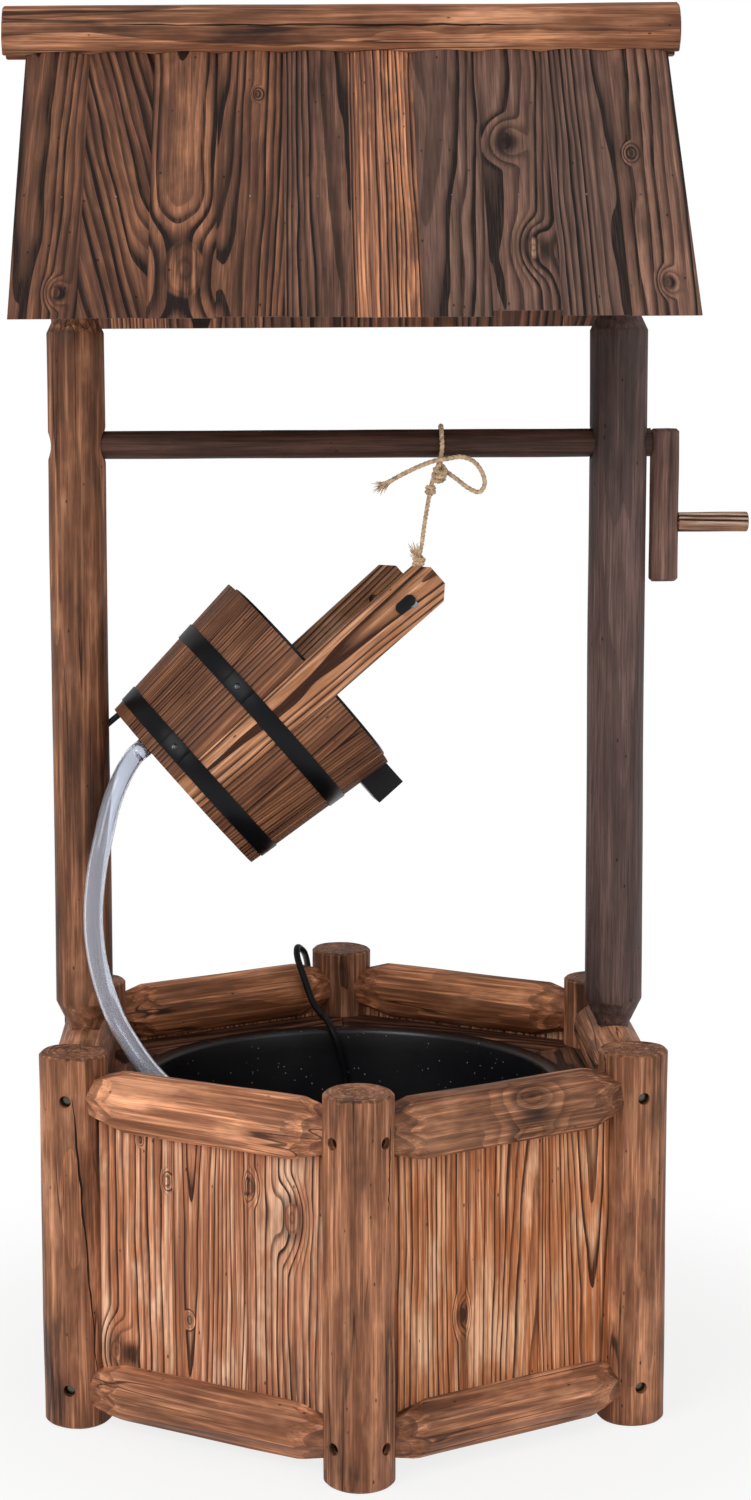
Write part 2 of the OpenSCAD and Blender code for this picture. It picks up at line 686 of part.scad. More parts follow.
module spout_block(grow)
  translate([bucket_rim_r - spout_in, -spout_w / 2 - grow, bucket_h - spout_drop - spout_h - grow])
    cube([spout_in + spout_out, spout_w + 2 * grow, spout_h + 2 * grow]);
module spout_channel()
  translate([bucket_rim_r - spout_in - 1, spout_wall - spout_w / 2, bucket_h - spout_drop - spout_h + spout_wall])
    cube([spout_in + spout_out + 2, spout_w - 2 * spout_wall, spout_h - 2 * spout_wall]);

// Lays out a band screw: -z goes into the stave and the head's seat is at z = 0
module on_band(a, z) rotate([0, 0, a])
  translate([stave_r(z + band_screw_head_d / 2) + band_t + pin_gap / 2, 0, z]) rotate([0, 90, 0]) children();
module band_screw_at(a, z, gap) on_band(a, z) translate([0, 0, -band_screw_len - gap])
  cylinder(d = band_screw_d + 2 * gap, h = band_screw_len + gap);

module band_screw_holes() for (a = band_screw_angles) for (z = [low_band_z, top_band_z])
  band_screw_at(a, z + band_w / 2, pin_gap / 2);

module stay_hole() along(stay_from, sway_way) translate([0, 0, -1])
  cylinder(r = stay_d / 2 + pin_gap / 2, h = stay_in_stave + 1 + pin_gap);

module bucket_staves() color(bucket_wood) place() difference() {
  in_bucket() for (half = [0, 180]) for (k = [0:half_staves - 1]) {
    from = half - 90 + ear_half_angle + k * stave_angle;
    difference() {
      intersection() {
        cone_shell(0, bucket_h, 0, -stave_t);
        wedge(from, from + stave_angle);
      }
      if (half == 0) {
        spout_block(seat_gap);
        translate([0, 0, spout_h]) spout_block(seat_gap);
      }
      band_screw_holes();
    }
  }
  stay_hole();
}

module ear_board(gap, below) translate([0, stave_r(bucket_h), bucket_h]) rotate([-lean, 0, 0])
  translate([0, -ear_setback - ear_t - gap, 0]) rotate([-90, 0, 0]) linear_extrude(ear_t + 2 * gap) polygon([
    [-ear_w / 2 - gap, below], [ear_w / 2 + gap, below], [ear_w / 2 + gap, ear_chamfer - ear_len],
    [ear_w / 2 + gap - ear_chamfer, -ear_len], [ear_chamfer - ear_w / 2 - gap, -ear_len],
    [-ear_w / 2 - gap, ear_chamfer - ear_len]
  ]);

module bucket_ears() color(ear_wood) place() in_bucket() for (side = [0, 180]) difference() {
  rotate([0, 0, side]) {
    intersection() {
      union() {
        cone_shell(0, bucket_h, 0, -stave_t);
        ear_board(0, ear_root);
      }
      wedge(90 - ear_half_angle, 90 + ear_half_angle);
    }
    // Above the rim the ear is as wide inside as it is outside
    ear_board(0, -seat_gap);
  }
  translate([0, 0, rod_z]) rotate([90, 0, 0]) cylinder(d = rod_d + 2 * pin_gap, h = 3 * bucket_rim_r, center = true);
}

module fitting_hole() translate([fitting_x, 0, 0]) cylinder(r = fitting_r + pin_gap, h = bucket_h / 2);

module bucket_bottom() color(bucket_wood) place() in_bucket() difference() {
  translate([0, 0, bottom_z]) cylinder(
    r1 = stave_r(bottom_z) - stave_t - pin_gap, r2 = stave_r(bottom_z + bottom_t) - stave_t - pin_gap,
    h = bottom_t, $fn = 128
  );
  fitting_hole();
}

// The room inside the liner
module liner_room(floor_z, low, high) rotate_extrude($fn = 128) polygon([
  [0, floor_z + liner_t], [low - liner_t, floor_z + liner_t], [high - liner_t, bucket_h],
  [high - liner_t, bucket_h + lip_t + 1], [0, bucket_h + lip_t + 1]
]);

// The liner is a cup with a lip, and its spout is a box that is pushed through it and the staves
module bucket_liner() color(black_plastic) place() in_bucket() {
  floor_z = bottom_z + bottom_t;
  low = stave_r(floor_z) - stave_t - seat_gap;
  high = stave_r(bucket_h) - stave_t - seat_gap;
  difference() {
    rotate_extrude($fn = 128) polygon([
      [0, floor_z], [low, floor_z], [high, bucket_h], [high + lip_w, bucket_h],
      [high + lip_w, bucket_h + lip_t], [0, bucket_h + lip_t]
    ]);
    for (side = [0, 180]) rotate([0, 0, side]) ear_board(seat_gap, ear_root);
    liner_room(floor_z, low, high);
    spout_block(seat_gap);
    fitting_hole();
  }
  difference() {
    spout_block(0);
    liner_room(floor_z, low, high);
    spout_channel();
  }
}

module bucket_bands() color(black_steel) place() in_bucket() for (z = [low_band_z, top_band_z]) difference() {
  cone_shell(z, z + band_w, band_t, pin_gap / 2);
  band_screw_holes();
}

module band_screws() color(bright_steel) place() in_bucket()
  for (a = band_screw_angles) for (z = [low_band_z + band_w / 2, top_band_z + band_w / 2]) {
    band_screw_at(a, z, 0);
    on_band(a, z) cylinder(d = band_screw_head_d, h = band_screw_head_h);
  }

module ear_rod() color(black_plastic) place() in_bucket() translate([0, 0, rod_z]) {
  reach = stave_r(bucket_h) - ear_setback + (rod_z - bucket_h) * flare + 1;
  rotate([90, 0, 0]) cylinder(d = rod_d, h = 2 * reach + 1, center = true);
  for (side = [-1, 1]) translate([0, side * (reach + rod_head.z / 2), 0]) {
    cube([rod_head.y, rod_head.z, rod_head.x - rod_head.y], center = true);
    for (end = [-1, 1]) translate([0, 0, end * (rod_head.x - rod_head.y) / 2]) rotate([90, 0, 0])
      cylinder(d = rod_head.y, h = rod_head.z, center = true);
  }
}

module bucket_stay() color(black_steel) place() along(stay_from, sway_way) translate([0, 0, -stay_in_upright])
  cylinder(d = stay_d, h = stay_in_upright + stay_in_stave);

module hose_fitting() color(black_plastic) place() in_bucket() translate([fitting_x, 0, 0]) rotate_extrude() polygon([
  [fitting_r - 2.5, -fitting_drop], [hose_d / 2, -fitting_drop], [hose_d / 2, bottom_z], [fitting_r, bottom_z],
  [fitting_r, bottom_z + bottom_t + liner_t], [fitting_r + 5, bottom_z + bottom_t + liner_t],
  [fitting_r + 5, bottom_z + bottom_t + liner_t + 2.5], [fitting_r - 2.5, bottom_z + bottom_t + liner_t + 2.5]
]);

// Hose and rope
module hose() color(clear_vinyl) place() tube(hose_path, hose_d, 12, [0, 1, 0]);
module rope() color(jute) place() tube(rope_path, rope_d, 8, [0, 1, 0]);

// Pump
module at_rotor() translate([pump_at.x, pump_at.y, rotor_z]) rotate([90, 0, 0]) children();

module pump_body() color(black_plastic) place() {
  front = pump_size.y / 2;
  difference() {
    union() {
      translate([pump_at.x, pump_at.y, pump_z + pump_size.z / 2]) cube(pump_size, center = true);
      translate([pump_at.x, pump_at.y, pump_z]) cylinder(r = outlet_r, h = pump_size.z + outlet_h);
      translate([cable_gland.x, cable_gland.y - gland_len - 1, cable_gland.z]) rotate([-90, 0, 0])
        cylinder(r1 = gland_r, r2 = cable_d / 2 + 0.8, h = gland_len + 1);
    }
    at_rotor() translate([0, 0, front - chamber_len]) cylinder(r = chamber_r, h = chamber_len + 1);
    at_rotor() translate([0, 0, front - chamber_len - rotor_len]) cylinder(r = rotor_bore_r, h = rotor_len + 1);
    translate([pump_at.x, pump_at.y - front + chamber_len / 2, rotor_z])
      cylinder(r = outlet_bore_r - 1, h = pump_size.z / 2 - 2);
    translate([pump_at.x, pump_at.y - front + chamber_len / 2 - outlet_bore_r + 1, rotor_z + pump_size.z / 2 - 6])
      cube([2 * outlet_bore_r - 2, pump_size.y / 2, 4]);
    translate([pump_at.x, pump_at.y, rotor_z + pump_size.z / 2 - 6])
      cylinder(r = outlet_bore_r, h = outlet_h + 7);
  }
  at_rotor() translate([0, 0, front - chamber_len - rotor_len - 1]) cylinder(r = shaft_r, h = rotor_len + 8);
}

module pump_cover() color(black_plastic) place() at_rotor() translate([0, 0, pump_size.y / 2]) {
  difference() {
    translate([-pump_size.x / 2, -pump_size.z / 2, 0]) cube([pump_size.x, pump_size.z, cover_t]);
    for (k = [-2:2]) translate([k * 7 - 1.5, -pump_size.z / 2 + 5, -1]) cube([3, 8, cover_t + 2]);
    for (k = [-2:2]) translate([k * 7 - 1.5, pump_size.z / 2 - 13, -1]) cube([3, 8, cover_t + 2]);
  }
  cylinder(r = dial_pin_r, h = cover_t + dial_t);
}

module flow_dial() color(bright_steel) place() at_rotor() translate([0, 0, pump_size.y / 2 + cover_t]) difference() {
  union() {
    cylinder(r = dial_r - 3, h = dial_t);
    translate([0, -1.5, 0]) cube([dial_r + 1, 3, dial_t + 1.5]);
  }
  translate([0, 0, -1]) cylinder(r = dial_pin_r + run_gap, h = dial_t + 4);
}

module impeller() color(bright_steel) place() at_rotor() {
  front = pump_size.y / 2;
  back = front - chamber_len - rotor_len + 1;
  difference() {
    union() {
      translate([0, 0, back]) cylinder(r = rotor_r, h = rotor_len);
      translate([0, 0, back + rotor_len - 1]) cylinder(r = chamber_r - 3, h = 2);
      for (k = [0:5]) rotate([0, 0, 60 * k]) translate([3, -0.75, back + rotor_len]) cube([chamber_r - 7, 1.5, 6]);
    }
    translate([0, 0, back - 1]) cylinder(r = shaft_r + run_gap, h = rotor_len + 10);
  }
}

module suction_feet() color(black_plastic) place() for (sx = [-1, 1]) for (sy = [-1, 1])
  translate([
    pump_at.x + sx * (pump_size.x / 2 - foot_inset), pump_at.y + sy * (pump_size.y / 2 - foot_inset), basin_floor_z
  ]) rotate_extrude() polygon([[0, 0.6], [foot_r - 3, 0], [foot_r, 0], [3, 3.4], [3, foot_h], [0, foot_h]]);

// Cable, coil and plug
module pump_cable() color(black_cable) place() tube(cable_path, cable_d, 8, [0, 0, 1]);
module cable_coil() color(black_cable) place() tube(coil_path, cable_d, 6, [0, 0, 1]);

module coil_tie() color(black_cable) place() {
  inner = coil_wide - coil_step * coil_turns - cable_d / 2 - 0.6;
  outer = coil_wide + cable_d / 2 - 0.6;
  high = coil_z + coil_step + cable_d / 2 + 0.4;
  difference() {
    translate([coil_at.x - outer - 0.8, coil_at.y - 4, 0]) cube([outer - inner + 1.6, 8, high + 0.8]);
    translate([coil_at.x - outer, coil_at.y - 5, 0.8]) cube([outer - inner, 10, high - 0.8]);
  }
}

module plug() color(black_plastic) place() translate(plug_at) rotate([0, -90, 0]) {
  wide = plug_body.y / 2;
  half_t = plug_body.z / 2;
  cylinder(r1 = cable_d / 2 + 0.4, r2 = cable_d / 2 + 2.5, h = plug_relief);
  translate([0, 0, plug_relief]) linear_extrude(plug_body.x) polygon([
    [-half_t, 3 - wide], [3 - half_t, -wide], [half_t - 3, -wide], [half_t, 3 - wide],
    [half_t, wide - 3], [half_t - 3, wide], [3 - half_t, wide], [-half_t, wide - 3]
  ]);
  for (side = [-1, 1]) translate([-blade.z / 2, side * blade_apart / 2 - blade.y / 2, plug_relief + plug_body.x - 1])
    cube([blade.z, blade.y, blade.x + 1]);
}

echo(cable_length = path_len(cable_path) + path_len(coil_path));
echo(hose_length = path_len(hose_path), rope_length = path_len(rope_path));
echo(coil_gap = self_gap(coil_path, cable_d, 12), rope_gap = self_gap(rope_path, rope_d, 6));
echo(sway_axis = sway_way, sway_at = sway_top - [mid_x, 0, 0], middle = mid_x);

post(0);  // front_post
post(1);  // front_right_post
post(2);  // back_right_post
post(3);  // back_post
post(4);  // back_left_post
post(5);  // front_left_post
rail(0, top_rail_d, top_rail_z, true);  // front_right_top_rail
rail(1, top_rail_d, top_rail_z, true);  // right_top_rail
rail(2, top_rail_d, top_rail_z, true);  // back_right_top_rail
rail(3, top_rail_d, top_rail_z, true);  // back_left_top_rail
rail(4, top_rail_d, top_rail_z, true);  // left_top_rail
rail(5, top_rail_d, top_rail_z, true);  // front_left_top_rail
rail(0, low_rail_d, low_rail_z, false);  // front_right_low_rail
rail(1, low_rail_d, low_rail_z, false);  // right_low_rail
rail(2, low_rail_d, low_rail_z, false);  // back_right_low_rail
rail(3, low_rail_d, low_rail_z, false);  // back_left_low_rail
rail(4, low_rail_d, low_rail_z, false);  // left_low_rail
rail(5, low_rail_d, low_rail_z, false);  // front_left_low_rail
panel(0);  // front_right_panel
panel(1);  // right_panel
panel(2);  // back_right_panel
panel(3);  // back_left_panel
panel(4);  // left_panel
panel(5);  // front_left_panel
rail_screws();
deck_boards();
deck_battens();
basin();
upright(-1);  // left_upright
upright(1);  // right_upright
gable_frames();
roof_battens();
roof_slope(false);  // front_roof_boards
roof_slope(true);  // back_roof_boards
ridge_log();
roof_brads();
crossbar();
crank_arm();
crank_handle();
crank_pins();
bucket_staves();
bucket_ears();
bucket_bottom();
bucket_liner();
bucket_bands();
band_screws();
ear_rod();
bucket_stay();
hose_fitting();
hose();
rope();
pump_body();
pump_cover();
impeller();
flow_dial();
suction_feet();
pump_cable();
cable_coil();
coil_tie();
plug();
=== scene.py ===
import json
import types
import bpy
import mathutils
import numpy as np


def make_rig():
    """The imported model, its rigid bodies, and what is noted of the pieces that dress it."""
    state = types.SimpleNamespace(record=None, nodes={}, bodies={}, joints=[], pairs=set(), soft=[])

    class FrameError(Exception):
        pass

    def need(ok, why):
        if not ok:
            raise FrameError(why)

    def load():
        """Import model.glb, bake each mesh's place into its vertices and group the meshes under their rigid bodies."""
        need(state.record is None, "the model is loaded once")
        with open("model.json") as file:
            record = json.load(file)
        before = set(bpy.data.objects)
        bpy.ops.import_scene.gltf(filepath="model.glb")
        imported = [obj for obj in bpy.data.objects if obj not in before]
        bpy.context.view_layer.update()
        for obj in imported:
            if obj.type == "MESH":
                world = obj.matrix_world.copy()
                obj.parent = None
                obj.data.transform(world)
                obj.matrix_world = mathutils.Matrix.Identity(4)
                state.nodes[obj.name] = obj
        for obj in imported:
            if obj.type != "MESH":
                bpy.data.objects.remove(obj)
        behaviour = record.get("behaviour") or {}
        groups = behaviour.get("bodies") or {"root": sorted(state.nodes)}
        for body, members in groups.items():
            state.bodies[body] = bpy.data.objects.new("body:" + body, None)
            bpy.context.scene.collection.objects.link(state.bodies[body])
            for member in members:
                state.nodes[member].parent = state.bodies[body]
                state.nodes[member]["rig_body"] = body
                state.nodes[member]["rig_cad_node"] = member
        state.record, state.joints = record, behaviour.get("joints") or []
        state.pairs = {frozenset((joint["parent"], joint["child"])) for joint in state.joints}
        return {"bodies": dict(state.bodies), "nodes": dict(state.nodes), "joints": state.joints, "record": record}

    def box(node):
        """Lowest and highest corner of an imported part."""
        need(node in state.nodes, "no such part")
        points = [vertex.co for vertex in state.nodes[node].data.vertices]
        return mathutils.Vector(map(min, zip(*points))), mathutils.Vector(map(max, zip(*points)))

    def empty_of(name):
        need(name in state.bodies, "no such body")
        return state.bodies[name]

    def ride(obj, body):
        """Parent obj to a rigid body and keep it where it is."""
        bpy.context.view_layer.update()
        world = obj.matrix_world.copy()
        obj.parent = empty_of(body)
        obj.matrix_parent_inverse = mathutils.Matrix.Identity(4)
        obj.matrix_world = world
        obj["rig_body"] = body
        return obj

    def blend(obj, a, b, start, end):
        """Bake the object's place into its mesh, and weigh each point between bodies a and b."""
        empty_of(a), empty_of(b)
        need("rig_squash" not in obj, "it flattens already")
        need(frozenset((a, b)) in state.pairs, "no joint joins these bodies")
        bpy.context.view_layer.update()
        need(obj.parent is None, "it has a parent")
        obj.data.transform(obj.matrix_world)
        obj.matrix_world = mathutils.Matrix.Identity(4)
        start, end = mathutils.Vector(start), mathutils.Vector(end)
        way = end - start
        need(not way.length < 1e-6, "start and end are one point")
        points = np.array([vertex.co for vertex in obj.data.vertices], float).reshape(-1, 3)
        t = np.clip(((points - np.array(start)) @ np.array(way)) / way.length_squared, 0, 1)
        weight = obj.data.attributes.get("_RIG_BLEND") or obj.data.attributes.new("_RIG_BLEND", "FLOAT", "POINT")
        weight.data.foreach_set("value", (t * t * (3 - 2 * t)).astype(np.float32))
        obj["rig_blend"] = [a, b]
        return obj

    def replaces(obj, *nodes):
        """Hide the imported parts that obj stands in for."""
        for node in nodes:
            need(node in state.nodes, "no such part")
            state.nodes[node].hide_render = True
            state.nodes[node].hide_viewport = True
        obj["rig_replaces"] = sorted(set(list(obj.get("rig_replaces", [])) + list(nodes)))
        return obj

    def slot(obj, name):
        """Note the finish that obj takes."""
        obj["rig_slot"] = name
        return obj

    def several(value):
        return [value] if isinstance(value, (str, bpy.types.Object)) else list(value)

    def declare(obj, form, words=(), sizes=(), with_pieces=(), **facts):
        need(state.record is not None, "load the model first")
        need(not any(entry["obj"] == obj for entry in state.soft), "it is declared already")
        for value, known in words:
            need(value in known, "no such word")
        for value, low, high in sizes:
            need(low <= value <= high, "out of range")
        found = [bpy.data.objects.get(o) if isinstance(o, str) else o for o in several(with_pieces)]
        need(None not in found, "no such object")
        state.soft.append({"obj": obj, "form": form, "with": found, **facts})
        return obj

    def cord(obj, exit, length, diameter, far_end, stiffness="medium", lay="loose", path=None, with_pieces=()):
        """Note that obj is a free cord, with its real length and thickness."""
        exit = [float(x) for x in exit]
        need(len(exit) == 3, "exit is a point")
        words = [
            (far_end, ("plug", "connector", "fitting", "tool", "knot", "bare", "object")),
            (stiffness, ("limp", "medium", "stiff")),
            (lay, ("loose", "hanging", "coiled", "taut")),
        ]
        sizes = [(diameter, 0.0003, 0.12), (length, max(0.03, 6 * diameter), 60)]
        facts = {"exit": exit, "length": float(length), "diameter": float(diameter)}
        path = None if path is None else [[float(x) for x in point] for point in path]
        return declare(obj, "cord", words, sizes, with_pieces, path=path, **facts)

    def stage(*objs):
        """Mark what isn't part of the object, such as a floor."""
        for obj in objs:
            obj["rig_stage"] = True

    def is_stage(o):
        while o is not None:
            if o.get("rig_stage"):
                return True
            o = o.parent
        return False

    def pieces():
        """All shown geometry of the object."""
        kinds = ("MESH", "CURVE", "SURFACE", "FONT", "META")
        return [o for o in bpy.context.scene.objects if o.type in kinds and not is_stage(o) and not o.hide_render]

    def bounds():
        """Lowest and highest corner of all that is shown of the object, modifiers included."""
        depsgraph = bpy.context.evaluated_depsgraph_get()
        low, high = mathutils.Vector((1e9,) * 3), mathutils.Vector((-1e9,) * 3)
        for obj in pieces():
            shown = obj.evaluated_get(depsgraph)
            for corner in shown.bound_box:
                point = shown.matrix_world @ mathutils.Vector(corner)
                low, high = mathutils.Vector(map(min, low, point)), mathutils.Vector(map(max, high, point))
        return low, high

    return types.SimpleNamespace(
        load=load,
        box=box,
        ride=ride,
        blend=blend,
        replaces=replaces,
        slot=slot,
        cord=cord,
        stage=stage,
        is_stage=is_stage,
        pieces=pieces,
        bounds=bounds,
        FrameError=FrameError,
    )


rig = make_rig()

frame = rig.load()
cad_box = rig.bounds()

import json
import random
from functools import partial
from math import asin, atan, atan2, cos, pi, radians, sin, sqrt

import bmesh
import bpy
from bpy.props import FloatProperty, FloatVectorProperty, PointerProperty
from mathutils import Matrix, Vector

bl_info = {
    "name": "Garden Fountain",
    "version": (1, 0, 0),
    "blender": (4, 5, 0),
    "location": "3D View > Sidebar > Fountain",
    "description": "Builds a wishing-well garden fountain of scorched fir",
    "category": "Add Mesh",
}

MM = 0.001
# The well's axis is this far from the middle of the whole thing
WELL_X = -0.02626


def linear(hex_colour):
    """The linear colour of an sRGB hex value."""
    parts = [int(hex_colour[k:k + 2], 16) / 255 for k in (1, 3, 5)]
    return tuple(c / 12.92 if c <= 0.04045 else ((c + 0.055) / 1.055) ** 2.4 for c in parts)


# Sizes and colours

def length(name, default, description):
    return FloatProperty(name=name, default=default, description=description, min=0, unit="LENGTH", precision=4)


def colour(name, default, description):
    return FloatVectorProperty(
        name=name, default=linear(default), description=description, subtype="COLOR", size=3, min=0, max=1)


class BaseSizes(bpy.types.PropertyGroup):
    post_circle: length("Post circle", 0.254, "Radius of the circle that the post axes stand on")
    post_width: length("Post diameter", 0.054, "Diameter of a post")
    top_rail_width: length("Top rail diameter", 0.048, "Diameter of a top rail")
    low_rail_width: length("Bottom rail diameter", 0.046, "Diameter of a bottom rail")
    rail_cone: length("Whittled end", 0.024, "Length of the whittled part at each end of a rail")
    upright_width: length("Upright diameter", 0.0465, "Diameter of an upright")
    unevenness: length("Unevenness", 0.0022, "How far a peeled log swells and hollows")


class RoofSizes(bpy.types.PropertyGroup):
    pitch: FloatProperty(
        name="Pitch", default=radians(48), description="Pitch of the roof", subtype="ANGLE", unit="ROTATION")
    peak: length("Peak", 1.101, "Height where the outer faces of the boards meet")
    eave: length("Eave", 0.868, "Height of the lower ends of the boards")
    board_pitch: length("Board pitch", 0.051, "Distance from one board to the next")
    board_lap: length("Board lap", 0.0005, "How far the edges of two boards press into each other")
    board_thickness: length("Board thickness", 0.009, "Thickness of a board at its middle")
    crown: length("Crown", 0.003, "How much a board is thicker in its middle")


class BucketSizes(bpy.types.PropertyGroup):
    low_radius: length("Bottom radius", 0.0843, "Outer radius of the bucket at its bottom")
    rim_radius: length("Rim radius", 0.0983, "Outer radius of the bucket at its rim")
    height: length("Height", 0.138, "Height of the bucket along its axis")
    stave: length("Stave", 0.011, "Thickness of a stave")
    ear_width: length("Ear width", 0.037, "Width of an ear")
    ear_thickness: length("Ear thickness", 0.009, "Thickness of an ear")
    ear_length: length("Ear length", 0.123, "Length of an ear above the rim")
    band_width: length("Band width", 0.015, "Width of a band")


class CordSizes(bpy.types.PropertyGroup):
    hose: length("Hose diameter", 0.016, "Outer diameter of the clear hose")
    hose_wall: length("Hose wall", 0.0018, "Wall of the clear hose")
    rope: length("Rope diameter", 0.004, "Diameter of the rope")
    cable: length("Cable diameter", 0.006, "Diameter of the pump's mains lead")


class Finishes(bpy.types.PropertyGroup):
    panel_early: colour("Panel springwood", "#cb835d", "Wood between the rings of the panels")
    panel_bright: colour("Panel highlights", "#ffcba6", "Springwood that the flame missed")
    panel_late: colour("Panel summerwood", "#42210f", "Dark rings of the panels")
    log_early: colour("Log wood", "#9b6548", "Wood of the posts and rails")
    log_bright: colour("Log highlights", "#e3a27a", "Scraped places of the posts and rails")
    log_late: colour("Log rings", "#452313", "Dark rings of the posts and rails")
    roof_early: colour("Roof springwood", "#78503e", "Wood between the rings of the roof boards")
    roof_bright: colour("Roof highlights", "#b57b59", "Springwood of the roof that the flame missed")
    roof_late: colour("Roof summerwood", "#1d110d", "Dark rings of the roof boards")
    char: colour("Char", "#1e1412", "Wood that the flame burnt")
    plastic: colour("Plastic", "#0f0f13", "Black plastic of the basin, liner and pump")
    hose: colour("Hose", "#f1f5ff", "Clear vinyl of the hose")
    jute: colour("Jute", "#e0c09a", "Fibres of the rope")


class StageSettings(bpy.types.PropertyGroup):
    key: FloatProperty(name="Key lamp", default=36, description="Power of the large lamp at the left", unit="POWER")
    fill: FloatProperty(name="Fill lamp", default=11, description="Power of the large lamp at the right", unit="POWER")
    sky: FloatProperty(name="Sky", default=0.5, description="Strength of the light from all round", min=0)
    floor: colour("Floor", "#f8f8f8", "Colour of the floor")


def hue(word):
    """The colour of a hex value, or of a name in the finishes."""
    return linear(word) if word[0] == "#" else tuple(getattr(bpy.context.scene.fountain_finishes, word))


# Places

def shift(x, y, z):
    return Matrix.Translation((x, y, z))


def spin(angle, axis="Z"):
    return Matrix.Rotation(angle, 4, axis)


def at(x, y, z):
    """A point in metres in the row frame, from millimetres round the well's own axis."""
    return Vector((x * MM + WELL_X, y * MM, z * MM))


def well(*points):
    return [at(*point) for point in points]


def around(angle, z=0):
    """The way out at an angle round Z."""
    return Vector((cos(angle), sin(angle), z))


AXIS = shift(WELL_X, 0, 0)
# The bucket's own frame: the middle of its bottom, with Z towards its mouth
BUCKET = shift(*at(-136, -8, 491.5)) @ spin(radians(8)) @ spin(radians(49), "Y") @ spin(radians(-4.8))


def in_bucket(x, y, z):
    return BUCKET @ Vector((x * MM, y * MM, z * MM))


def spline(points, steps):
    """A smooth curve through the points, with some steps from each to the next."""
    result = []
    for i in range(len(points) - 1):
        a, b = points[max(i - 1, 0)], points[i]
        c, d = points[i + 1], points[min(i + 2, len(points) - 1)]
        for t in (k / steps for k in range(steps)):
            result.append(0.5 * (2 * b + (c - a) * t + (2 * a - 5 * b + 4 * c - d) * t * t
                                 + (3 * b - a - 3 * c + d) * t ** 3))
    return result + [points[-1]]


def path_length(points):
    return sum((b - a).length for a, b in zip(points, points[1:]))


# Tools

def alone(obj):
    """Selects one object and nothing else."""
    bpy.ops.object.select_all(action="DESELECT")
    obj.select_set(True)
    bpy.context.view_layer.objects.active = obj


def edit(obj):
    """Opens an object in edit mode with all of it selected."""
    alone(obj)
    bpy.ops.object.mode_set(mode="EDIT")
    bpy.ops.mesh.select_mode(type="VERT")
    bpy.ops.mesh.select_all(action="SELECT")


def done():
    bpy.ops.object.mode_set(mode="OBJECT")


def pick(kind, test):
    """In edit mode, selects the vertices, edges or faces that pass a test on their points."""
    bpy.ops.mesh.select_all(action="DESELECT")
    bpy.ops.mesh.select_mode(type=kind)
    mesh = bpy.context.edit_object.data
    shape = bmesh.from_edit_mesh(mesh)
    for item in {"VERT": shape.verts, "EDGE": shape.edges, "FACE": shape.faces}[kind]:
        if test([item.co] if kind == "VERT" else [v.co for v in item.verts]):
            item.select_set(True)
    shape.select_flush_mode()
    bmesh.update_edit_mesh(mesh)


def ease(kind, test, width, segments=2):
    """In edit mode, bevels the edges, or the rims of the faces, that pass a test."""
    pick(kind, test)
    bpy.ops.mesh.bevel(offset=width, segments=segments, affect="EDGES")


def close(weld=0):
    """Ends the shaping of a closed solid: doubles merged if asked, and faces out."""
    bpy.ops.mesh.select_all(action="SELECT")
    if weld:
        bpy.ops.mesh.remove_doubles(threshold=weld)
    bpy.ops.mesh.normals_make_consistent(inside=False)
    done()


def put(obj, matrix=None):
    """Moves a piece to its place, and takes place, turn and scale into its mesh."""
    if matrix is not None:
        obj.matrix_world = matrix
    alone(obj)
    bpy.ops.object.transform_apply(location=True, rotation=True, scale=True)
    return obj


def copy_of(obj):
    alone(obj)
    bpy.ops.object.duplicate(linked=False)
    return bpy.context.object


def apply(obj, kind, **settings):
    """Adds a modifier with its settings and applies it."""
    alone(obj)
    step = obj.modifiers.new(kind, kind)
    for key, value in settings.items():
        setattr(step, key, value)
    bpy.ops.object.modifier_apply(modifier=step.name)
    return obj


def soften(obj, width, degrees=40):
    return apply(obj, "BEVEL", width=width, segments=2, limit_method="ANGLE", angle_limit=radians(degrees))


def smooth(obj, degrees=32):
    alone(obj)
    bpy.ops.object.shade_smooth_by_angle(angle=radians(degrees))
    return obj


def join(objects):
    alone(objects[0])
    for obj in objects:
        obj.select_set(True)
    bpy.ops.object.join()
    return objects[0]


def remove(*objects):
    for obj in objects:
        bpy.data.objects.remove(obj)


def subtract(obj, tool):
    apply(obj, "BOOLEAN", operation="DIFFERENCE", solver="EXACT", object=tool)
    remove(tool)
    return obj


def finish_piece(name, obj, body, material, slot, *nodes):
    """Gives a piece its name, material, body and slot, and hides the CAD nodes that it stands for."""
    obj.name = name
    if material:
        obj.data.materials.clear()
        obj.data.materials.append(material)
    if body:
        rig.ride(obj, body)
    if nodes:
        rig.replaces(obj, *nodes)
    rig.slot(obj, slot)
    return obj


def block(place, size, turn=0):
    """A box of a size with its middle at a place."""
    bpy.ops.object.select_all(action="DESELECT")
    bpy.ops.mesh.primitive_cube_add(size=1, location=place, rotation=(0, 0, turn))
    bpy.context.object.scale = size
    return put(bpy.context.object)


def turned(profile, sides=96):
    """A solid turned round the Z axis, from (height, radius) pairs, the lowest first."""
    height, radius = profile[0]
    bpy.ops.object.select_all(action="DESELECT")
    bpy.ops.mesh.primitive_circle_add(vertices=sides, radius=radius, fill_type="NGON", location=(0, 0, height))
    obj = bpy.context.object
    edit(obj)
    for z, r in profile[1:]:
        bpy.ops.mesh.extrude_region_move(TRANSFORM_OT_translate={"value": (0, 0, z - height)})
        if abs(r - radius) > 1e-7:
            bpy.ops.transform.resize(value=(r / radius, r / radius, 1), center_override=(0, 0, z))
        height, radius = z, r
    close()
    return put(obj)


def rod(radius, low, high, sides=32):
    return turned([(low, radius), (high, radius)], sides)


